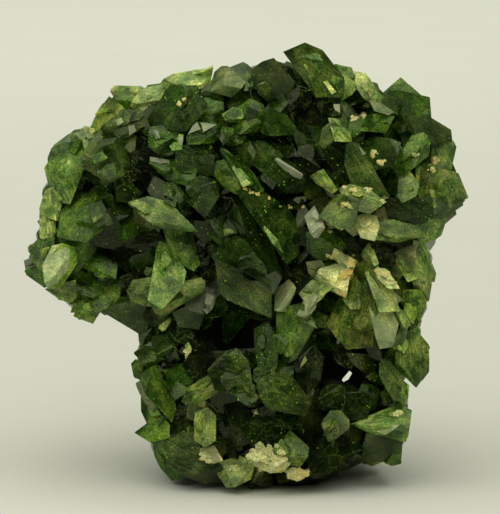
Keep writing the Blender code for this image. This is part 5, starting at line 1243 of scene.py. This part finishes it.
def settle(item, models, count, sizes, facingFront, dice):
    # small crystals in the creases between the big ones, and some on their faces
    mesh = item.data
    grid = bmesh.new()
    grid.from_mesh(mesh)
    toneLayer = grid.faces.layers.float_color["tone"]
    creases = []
    for edge in grid.edges:
        if len(edge.link_faces) == 2 and edge.calc_face_angle_signed() < -0.35:
            creases.append(edge)
    # the joined body's edges and faces can come in any order, so they are sorted by their places
    creases.sort(key=lambda edge: tuple(edge.verts[0].co + edge.verts[1].co))
    faces = sorted(grid.faces, key=centreOf)
    placed = 0
    for attempt in range(count * 8):
        if placed == count:
            break
        if dice.random() < crystallites["creaseShare"]:
            edge = creases[dice.randrange(len(creases))]
            start, end = sorted((vertex.co for vertex in edge.verts), key=tuple)
            point = start.lerp(end, dice.random())
            normal = (edge.link_faces[0].normal + edge.link_faces[1].normal).normalized()
            tone = Vector(min(edge.link_faces, key=centreOf)[toneLayer])
        else:
            face = faces[dice.randrange(len(faces))]
            point = face.calc_center_median()
            normal = face.normal
            tone = Vector(face[toneLayer])
        inFront = nearness(point) > crystallites["frontEnds"] or normal.dot(nearAxis) > 0.1
        size = sizes[0] + (sizes[1] - sizes[0]) * dice.random() ** 2
        if inFront != facingFront or point.z < 0.6 * mm or clearance(*placeInPicture(point)) < size:
            continue
        jitter = Vector((dice.gauss(0, 0.4), dice.gauss(0, 0.4), dice.gauss(0, 0.4)))
        axis = (normal + jitter).normalized()
        turn = axis.to_track_quat("Z", "Y").to_matrix().to_4x4()
        turn = turn @ Matrix.Rotation(dice.uniform(0, 2 * math.pi), 4, "Z")
        place = Matrix.Translation(point - normal * size * mm * 0.25)
        change = place @ turn @ Matrix.Scale(size, 4)
        model = dice.choice(models)
        if sticksOut([placeInPicture(change @ vertex.co) for vertex in model.data.vertices]):
            continue
        crystal = bpy.data.objects.new("crystallite", model.data.copy())
        crystal.data.transform(change)
        draw = dice.random()
        if draw < crystallites["paleOdds"] and normal.dot(nearAxis) < -0.3:
            tone = Vector((*tones["pale"], 1))
        tone = tone * dice.uniform(*crystallites["lighter"])
        colours = list((tone.x, tone.y, tone.z, 1)) * len(crystal.data.polygons)
        crystal.data.attributes["tone"].data.foreach_set("color", colours)
        shiftGrain(crystal.data, size, dice)
        grown.objects.link(crystal)
        placed += 1
    grid.free()
    return placed


def shiftGrain(mesh, size, dice):
    grain = mesh.attributes["grain"].data
    values = [0.0] * (3 * len(grain))
    grain.foreach_get("vector", values)
    shift = (dice.uniform(0, 50), dice.uniform(0, 50), dice.uniform(0, 50))
    grain.foreach_set("vector", [v * size + shift[i % 3] for i, v in enumerate(values)])


# Crystals over what still shows of the bare heart at the top, the sides and the back
cover = {"seed": 19, "count": 190, "size": (1.1, 2.3), "nearest": 3.0, "facing": 0.3, "shrink": 0.75, "moves": 4,
         "sink": 0.35, "jitter": 0.35}


def clothe(item, models):
    dice = random.Random(cover["seed"])
    tonesHere = [face.color[1] for face in item.data.attributes["tone"].data]
    bare = [face for face in item.data.polygons if tonesHere[face.index] < fillers["bare"]
            and nearness(face.center) < cover["nearest"] and face.normal.dot(nearAxis) < cover["facing"]
            and face.center.z > mm]
    bare.sort(key=lambda face: tuple(face.center))
    weights = [face.area for face in bare]
    placed = 0
    for face in dice.choices(bare, weights, k=cover["count"]):
        corners = [item.data.vertices[v].co for v in face.vertices]
        first = corners.index(min(corners, key=tuple))
        corners = corners[first:] + corners[:first]
        pick = dice.randrange(1, len(corners) - 1)
        low, high = sorted((dice.random(), dice.random()))
        point = corners[0] * low + corners[pick] * (high - low) + corners[pick + 1] * (1 - high)
        jitter = Vector((dice.gauss(0, 1), dice.gauss(0, 1), dice.gauss(0, 1))) * cover["jitter"]
        turn = (face.normal + jitter).normalized().to_track_quat("Z", "Y").to_matrix().to_4x4()
        turn = turn @ Matrix.Rotation(dice.uniform(0, 2 * math.pi), 4, "Z")
        size = dice.uniform(*cover["size"])
        model = dice.choice(models)
        for move in range(cover["moves"]):
            place = Matrix.Translation(point - face.normal * size * mm * cover["sink"])
            change = place @ turn @ Matrix.Scale(size, 4)
            if not sticksOut([placeInPicture(change @ vertex.co) for vertex in model.data.vertices]):
                crystal = bpy.data.objects.new("coverCrystal", model.data.copy())
                crystal.data.transform(change)
                tone = Vector(tones[dice.choice(sides["tones"])]) * dice.uniform(0.7, 1.2)
                colours = list((*tone, 1)) * len(crystal.data.polygons)
                crystal.data.attributes["tone"].data.foreach_set("color", colours)
                shiftGrain(crystal.data, size, dice)
                grown.objects.link(crystal)
                placed += 1
                break
            size *= cover["shrink"]
    return placed


models = modelCrystallites()
count = clothe(body, models)
growTogether(body, grown)
print("crystals over the bare heart:", count)
dice = random.Random(crystallites["seed"] + 1)
front = settle(body, models, crystallites["front"], crystallites["frontSize"], True, dice)
back = settle(body, models, crystallites["back"], crystallites["backSize"], False, dice)
growTogether(body, grown)
remove(models)
print("small crystals:", front, "in front,", back, "behind")


def trimBase(item):
    # what lies below the floor, where the cluster broke off the rock, and the one gap with daylight
    deselectAll()
    bpy.ops.mesh.primitive_cube_add(size=0.12, location=(0, 0, -0.06))
    below = bpy.context.object
    below.name = "belowTheFloor"
    corners = convexRim(window["rim"])
    middle = sum(corners, Vector((0, 0))) / len(corners)
    wide = [middle + (c - middle) * window["flare"] for c in corners]
    gap = pictureBlock("daylightGap", corners, wide, *window["span"])
    addBoolean(item, "DIFFERENCE", gap)
    addBoolean(item, "DIFFERENCE", below)
    applyAll(item)
    remove([below, gap])


def keepLargestShell(item):
    pick(item)
    bpy.ops.object.mode_set(mode="EDIT")
    bpy.ops.mesh.select_all(action="SELECT")
    bpy.ops.mesh.separate(type="LOOSE")
    bpy.ops.object.mode_set(mode="OBJECT")
    shells = sorted(bpy.context.selected_objects, key=lambda shell: len(shell.data.polygons))
    largest = shells.pop()
    remove(shells)
    return largest


trimBase(body)
body = keepLargestShell(body)
body.name = "uviteCrystals"
print("trimmed body:", len(body.data.polygons), "faces")
uviteLook = {
    "transmission": 0.5, "ior": 1.63, "specular": 0.12, "glint": (0.62, 0.72, 0.48),
    "absorption": (0.34, 0.74, 0.08), "density": 650,
    "roughness": (0.04, 0.2), "bump": 0.5, "bumpDepth": 0.00012,
    "cloud": (0.45, 1.7), "mottle": (0.34, 1.96), "fine": (0.42, 1.72), "stripes": (0.62, 1.38),
    "deepHue": (0.62, 1.0, 0.6), "lightHue": (1.25, 1.05, 0.85), "veinColour": (0.24, 0.34, 0.06),
    # the paler colour of the worn edges is a painted highlight
    "edgeGlintColour": (0.30, 0.42, 0.08), "sparkColour": (0.45, 0.95, 0.03), "rustColour": (0.42, 0.20, 0.03),
}


def addNode(tree, kind, **values):
    node = tree.nodes.new(kind)
    for key, value in values.items():
        setattr(node, key, value)
    return node


def addNoise(tree, vector, scale, detail, roughness):
    noise = addNode(tree, "ShaderNodeTexNoise")
    noise.inputs["Scale"].default_value = scale
    noise.inputs["Detail"].default_value = detail
    noise.inputs["Roughness"].default_value = roughness
    tree.links.new(vector, noise.inputs["Vector"])
    return noise.outputs["Fac"]


def addRange(tree, value, fromRange, toRange):
    scaled = addNode(tree, "ShaderNodeMapRange")
    for name, number in zip(("From Min", "From Max", "To Min", "To Max"), (*fromRange, *toRange)):
        scaled.inputs[name].default_value = number
    tree.links.new(value, scaled.inputs["Value"])
    return scaled.outputs["Result"]


def addScaled(tree, colour, value):
    scaled = addNode(tree, "ShaderNodeVectorMath", operation="SCALE")
    tree.links.new(colour, scaled.inputs[0])
    tree.links.new(value, scaled.inputs["Scale"])
    return scaled.outputs["Vector"]


def addBlend(tree, colour, other, mask):
    blend = addNode(tree, "ShaderNodeMix", data_type="RGBA")
    tree.links.new(colour, blend.inputs["A"])
    blend.inputs["B"].default_value = (*other, 1)
    tree.links.new(mask, blend.inputs["Factor"])
    return blend.outputs["Result"]


def addProduct(tree, one, other):
    product = addNode(tree, "ShaderNodeMath", operation="MULTIPLY")
    for place, value in enumerate((one, other)):
        if isinstance(value, float):
            product.inputs[place].default_value = value
        else:
            tree.links.new(value, product.inputs[place])
    return product.outputs["Value"]


def uviteMaterial():
    material = bpy.data.materials.new("uviteGreen")
    material.use_nodes = True
    tree = material.node_tree
    link = tree.links.new
    shader = tree.nodes["Principled BSDF"]
    output = tree.nodes["Material Output"]
    shader.inputs["Transmission Weight"].default_value = uviteLook["transmission"]
    shader.inputs["IOR"].default_value = uviteLook["ior"]
    shader.inputs["Specular IOR Level"].default_value = uviteLook["specular"]
    shader.inputs["Specular Tint"].default_value = (*uviteLook["glint"], 1)
    shader.inputs["Metallic"].default_value = 0
    tone = addNode(tree, "ShaderNodeAttribute", attribute_name="tone").outputs["Color"]
    grain = addNode(tree, "ShaderNodeAttribute", attribute_name="grain").outputs["Vector"]
    edgeGlint = addNode(tree, "ShaderNodeAttribute", attribute_name="edgeGlint").outputs["Fac"]
    coordinates = addNode(tree, "ShaderNodeTexCoord")
    millimetres = addNode(tree, "ShaderNodeMapping")
    millimetres.inputs["Scale"].default_value = (1000, 1000, 1000)
    link(coordinates.outputs["Object"], millimetres.inputs["Vector"])
    place = millimetres.outputs["Vector"]

    # clouds that run on from crystal to crystal, the mottling inside each one, and a fine grain
    cloud = addNoise(tree, place, 0.24, 3, 0.5)
    mottle = addNoise(tree, grain, 0.55, 5, 0.58)
    fine = addNoise(tree, grain, 6.0, 3, 0.6)
    colour = addScaled(tree, tone, addRange(tree, cloud, (0.34, 0.66), uviteLook["cloud"]))
    colour = addScaled(tree, colour, addRange(tree, mottle, (0.35, 0.66), uviteLook["mottle"]))
    colour = addScaled(tree, colour, addRange(tree, fine, (0.32, 0.68), uviteLook["fine"]))
    # growth marks run along each crystal
    stretch = addNode(tree, "ShaderNodeMapping")
    stretch.inputs["Scale"].default_value = (0.45, 4.0, 4.0)
    link(grain, stretch.inputs["Vector"])
    stripes = addNoise(tree, stretch.outputs["Vector"], 1.0, 3, 0.5)
    colour = addScaled(tree, colour, addRange(tree, stripes, (0.32, 0.68), uviteLook["stripes"]))
    # grey and milky crystals are evener: theirs is the tone with the most blue beside its green
    parts = addNode(tree, "ShaderNodeSeparateColor")
    link(tone, parts.inputs["Color"])
    blueShare = addNode(tree, "ShaderNodeMath", operation="DIVIDE")
    link(parts.outputs["Blue"], blueShare.inputs[0])
    link(parts.outputs["Green"], blueShare.inputs[1])
    even = addRange(tree, blueShare.outputs["Value"], (0.26, 0.6), (0.0, 0.75))
    hue = addNode(tree, "ShaderNodeMix", data_type="RGBA")
    hue.inputs["A"].default_value = (*uviteLook["deepHue"], 1)
    hue.inputs["B"].default_value = (*uviteLook["lightHue"], 1)
    link(addRange(tree, mottle, (0.38, 0.64), (0.0, 1.0)), hue.inputs["Factor"])
    tinted = addNode(tree, "ShaderNodeVectorMath", operation="MULTIPLY")
    link(colour, tinted.inputs[0])
    link(hue.outputs["Result"], tinted.inputs[1])
    evened = addNode(tree, "ShaderNodeMix", data_type="RGBA")
    link(even, evened.inputs["Factor"])
    link(tinted.outputs["Vector"], evened.inputs["A"])
    link(tone, evened.inputs["B"])
    colour = evened.outputs["Result"]

    # healed cracks, pale and broken
    crack = addNode(tree, "ShaderNodeTexVoronoi", feature="DISTANCE_TO_EDGE")
    crack.inputs["Scale"].default_value = 0.8
    bent = addNode(tree, "ShaderNodeVectorMath", operation="ADD")
    wave = addNode(tree, "ShaderNodeTexNoise")
    link(grain, wave.inputs["Vector"])
    wave.inputs["Scale"].default_value = 1.5
    link(grain, bent.inputs[0])
    link(wave.outputs["Color"], bent.inputs[1])
    link(bent.outputs["Vector"], crack.inputs["Vector"])
    crackLine = addRange(tree, crack.outputs["Distance"], (0.0, 0.05), (0.5, 0.0))
    crackMask = addProduct(tree, crackLine, addRange(tree, cloud, (0.4, 0.6), (0.0, 1.0)))
    colour = addBlend(tree, colour, uviteLook["veinColour"], crackMask)

    # sparks of light from inner cracks, in flocks, and rusty specks
    flock = addRange(tree, addNoise(tree, place, 0.5, 2, 0.5), (0.48, 0.58), (0.0, 1.0))
    speck = addNoise(tree, grain, 3.6, 1, 0.5)
    sparks = addProduct(tree, addRange(tree, speck, (0.70, 0.74), (0.0, 1.0)), flock)
    colour = addBlend(tree, colour, uviteLook["sparkColour"], sparks)
    colour = addBlend(tree, colour, uviteLook["rustColour"], addRange(tree, speck, (0.25, 0.22), (0.0, 0.8)))

    # painted highlight: the faces of the worn edges are painted paler, as if they caught the light
    colour = addBlend(tree, colour, uviteLook["edgeGlintColour"], addProduct(tree, edgeGlint, 0.5))
    link(colour, shader.inputs["Base Color"])
    link(addRange(tree, mottle, (0.35, 0.65), uviteLook["roughness"]), shader.inputs["Roughness"])

    # etched faces and growth marks
    relief = addNode(tree, "ShaderNodeMath", operation="ADD")
    link(addProduct(tree, mottle, 2.0), relief.inputs[0])
    link(addProduct(tree, stripes, 0.5), relief.inputs[1])
    bump = addNode(tree, "ShaderNodeBump")
    bump.inputs["Strength"].default_value = uviteLook["bump"]
    bump.inputs["Distance"].default_value = uviteLook["bumpDepth"]
    link(relief.outputs["Value"], bump.inputs["Height"])
    link(bump.outputs["Normal"], shader.inputs["Normal"])

    absorption = addNode(tree, "ShaderNodeVolumeAbsorption")
    absorption.inputs["Color"].default_value = (*uviteLook["absorption"], 1)
    absorption.inputs["Density"].default_value = uviteLook["density"]
    link(absorption.outputs["Volume"], output.inputs["Volume"])
    return material


body.data.materials.clear()
body.data.materials.append(uviteMaterial())
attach(body, "root")
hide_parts("uvite_cluster")

# Crumbs of the rock that the crystals grew on, still held between them: place in the picture, radius and
# how rusty each is
crust = {
    "seed": 11, "variants": 8, "breaks": 5, "lumps": 8, "lumpSize": (0.3, 0.75), "flatness": 0.35,
    "cream": (0.76, 0.79, 0.36), "rust": (0.80, 0.50, 0.08), "shadow": (0.30, 0.34, 0.12),
    "spots": [
        ((33.4, 25.6), 0.5, 0.3), ((34.7, 27.6), 0.7, 0.7), ((32.2, 27.2), 0.5, 0.3), ((34.2, 29.2), 0.5, 0.6),
        ((35.3, 26.2), 0.6, 0.8), ((38.2, 27.2), 0.6, 0.3), ((39.2, 28.2), 0.6, 0.2), ((35.4, 18.9), 0.3, 0.4),
        ((36.8, 19.0), 0.3, 0.3), ((38.4, 19.8), 0.35, 0.3), ((34.4, 18.6), 0.3, 0.4), ((37.5, 15.3), 0.4, 0.4),
        ((38.0, 16.2), 0.35, 0.3), ((35.3, 11.8), 0.35, 0.3), ((36.2, 11.5), 0.3, 0.2), ((36.6, 10.6), 0.3, 0.3),
        ((41.6, 15.5), 0.3, 0.2), ((43.6, 16.0), 0.35, 0.4), ((43.3, 16.9), 0.3, 0.4), ((24.5, 18.9), 0.14, 1.0),
        ((25.1, 19.2), 0.14, 1.0), ((25.8, 19.4), 0.16, 0.9), ((26.9, 19.8), 0.14, 0.9), ((29.0, 20.7), 0.18, 0.8),
        ((30.3, 20.7), 0.14, 0.8),
        ((25.6, 45.6), 1.1, 0.1), ((27.3, 45.3), 0.9, 0.2), ((28.3, 46.6), 0.8, 0.2), ((26.4, 46.6), 0.7, 0.1),
        ((29.4, 47.2), 0.7, 0.3), ((30.5, 47.0), 0.5, 0.7), ((25.3, 41.2), 0.3, 0.4), ((20.6, 45.6), 0.5, 0.2),
        ((20.3, 40.2), 0.45, 0.3), ((23.4, 46.9), 0.5, 0.2), ((18.8, 35.2), 0.35, 0.1), ((17.9, 10.4), 0.22, 0.9),
        ((18.4, 9.9), 0.2, 0.9), ((32.8, 22.8), 0.5, 0.2), ((39.9, 41.4), 0.4, 0.2), ((34.6, 20.4), 0.4, 0.3),
    ],
}


def modelCrumbs(dice):
    # a few broken lumps, 1 mm in radius, which are copied to all the crumbs
    models = []
    for i in range(crust["variants"]):
        deselectAll()
        bpy.ops.mesh.primitive_ico_sphere_add(subdivisions=1, radius=mm)
        lump = bpy.context.object
        bpy.ops.object.mode_set(mode="EDIT")
        bpy.ops.mesh.select_all(action="SELECT")
        bpy.ops.transform.vertex_random(offset=0.35 * mm, seed=dice.randrange(1, 9999))
        for side in range(crust["breaks"]):
            outward = Vector((dice.gauss(0, 1), dice.gauss(0, 1), dice.gauss(0, 1))).normalized()
            cutFlat(outward * mm * dice.uniform(0.35, 0.7), outward)
        bpy.ops.mesh.select_all(action="SELECT")
        bpy.ops.mesh.normals_make_consistent(inside=False)
        bpy.ops.object.mode_set(mode="OBJECT")
        models.append(lump)
    return models


def modelCrust(item):
    # each crumb is a heap of broken lumps, pressed into the crystals under it
    dice = random.Random(crust["seed"])
    tree = surfaceTree(item)
    models = modelCrumbs(dice)
    for place, radius, rust in crust["spots"]:
        for lump in range(crust["lumps"]):
            across = place[0] + dice.gauss(0, 0.5) * radius
            down = place[1] + dice.gauss(0, 0.4) * radius
            point, normal, index = surfaceAt(tree, across, down)
            if point is None:
                continue
            size = radius ** 0.7 * dice.uniform(*crust["lumpSize"])
            turn = Matrix.Rotation(dice.uniform(0, 2 * math.pi), 4, (dice.gauss(0, 1), dice.gauss(0, 1), 1))
            flat = normal.to_track_quat("Z", "Y").to_matrix().to_4x4()
            squash = Matrix.Diagonal((size, size * dice.uniform(0.5, 1), size * crust["flatness"], 1))
            model = dice.choice(models)
            crumb = bpy.data.objects.new("crumb", model.data.copy())
            crumb.data.transform(Matrix.Translation(point) @ flat @ squash @ turn)
            share = min(1.0, max(0.0, dice.gauss(rust, 0.25)))
            setAttribute(crumb.data, "rust", "FLOAT", "FACE", "value", [share] * len(crumb.data.polygons))
            grown.objects.link(crumb)
    remove(models)
    deselectAll()
    for crumb in grown.objects:
        crumb.select_set(True)
    first = grown.objects[0]
    bpy.context.view_layer.objects.active = first
    bpy.ops.object.join()
    keepIn(bpy.context.scene.collection, first)
    first.name = "matrixCrust"
    return first


def crustMaterial():
    material = bpy.data.materials.new("creamMatrix")
    material.use_nodes = True
    tree = material.node_tree
    shader = tree.nodes["Principled BSDF"]
    shader.inputs["Roughness"].default_value = 0.7
    coordinates = addNode(tree, "ShaderNodeTexCoord")
    millimetres = addNode(tree, "ShaderNodeMapping")
    millimetres.inputs["Scale"].default_value = (1000, 1000, 1000)
    tree.links.new(coordinates.outputs["Object"], millimetres.inputs["Vector"])
    place = millimetres.outputs["Vector"]
    rust = addNode(tree, "ShaderNodeAttribute", attribute_name="rust").outputs["Fac"]
    stain = addNoise(tree, place, 1.2, 6, 0.7)
    grain = addNoise(tree, place, 5.0, 4, 0.6)
    shade = addNode(tree, "ShaderNodeMix", data_type="RGBA")
    shade.inputs["A"].default_value = (*crust["shadow"], 1)
    shade.inputs["B"].default_value = (*crust["cream"], 1)
    tree.links.new(addRange(tree, grain, (0.35, 0.6), (0.0, 1.0)), shade.inputs["Factor"])
    stained = addProduct(tree, addRange(tree, stain, (0.4, 0.62), (0.15, 1.0)), rust)
    colour = addBlend(tree, shade.outputs["Result"], crust["rust"], stained)
    tree.links.new(colour, shader.inputs["Base Color"])
    bump = addNode(tree, "ShaderNodeBump")
    bump.inputs["Strength"].default_value = 0.7
    bump.inputs["Distance"].default_value = 0.0001
    tree.links.new(grain, bump.inputs["Height"])
    tree.links.new(bump.outputs["Normal"], shader.inputs["Normal"])
    return material


crumbs = modelCrust(body)
crumbs.data.materials.clear()
crumbs.data.materials.append(crustMaterial())
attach(crumbs, "root")
print("crumbs of rock:", len(crust["spots"]))
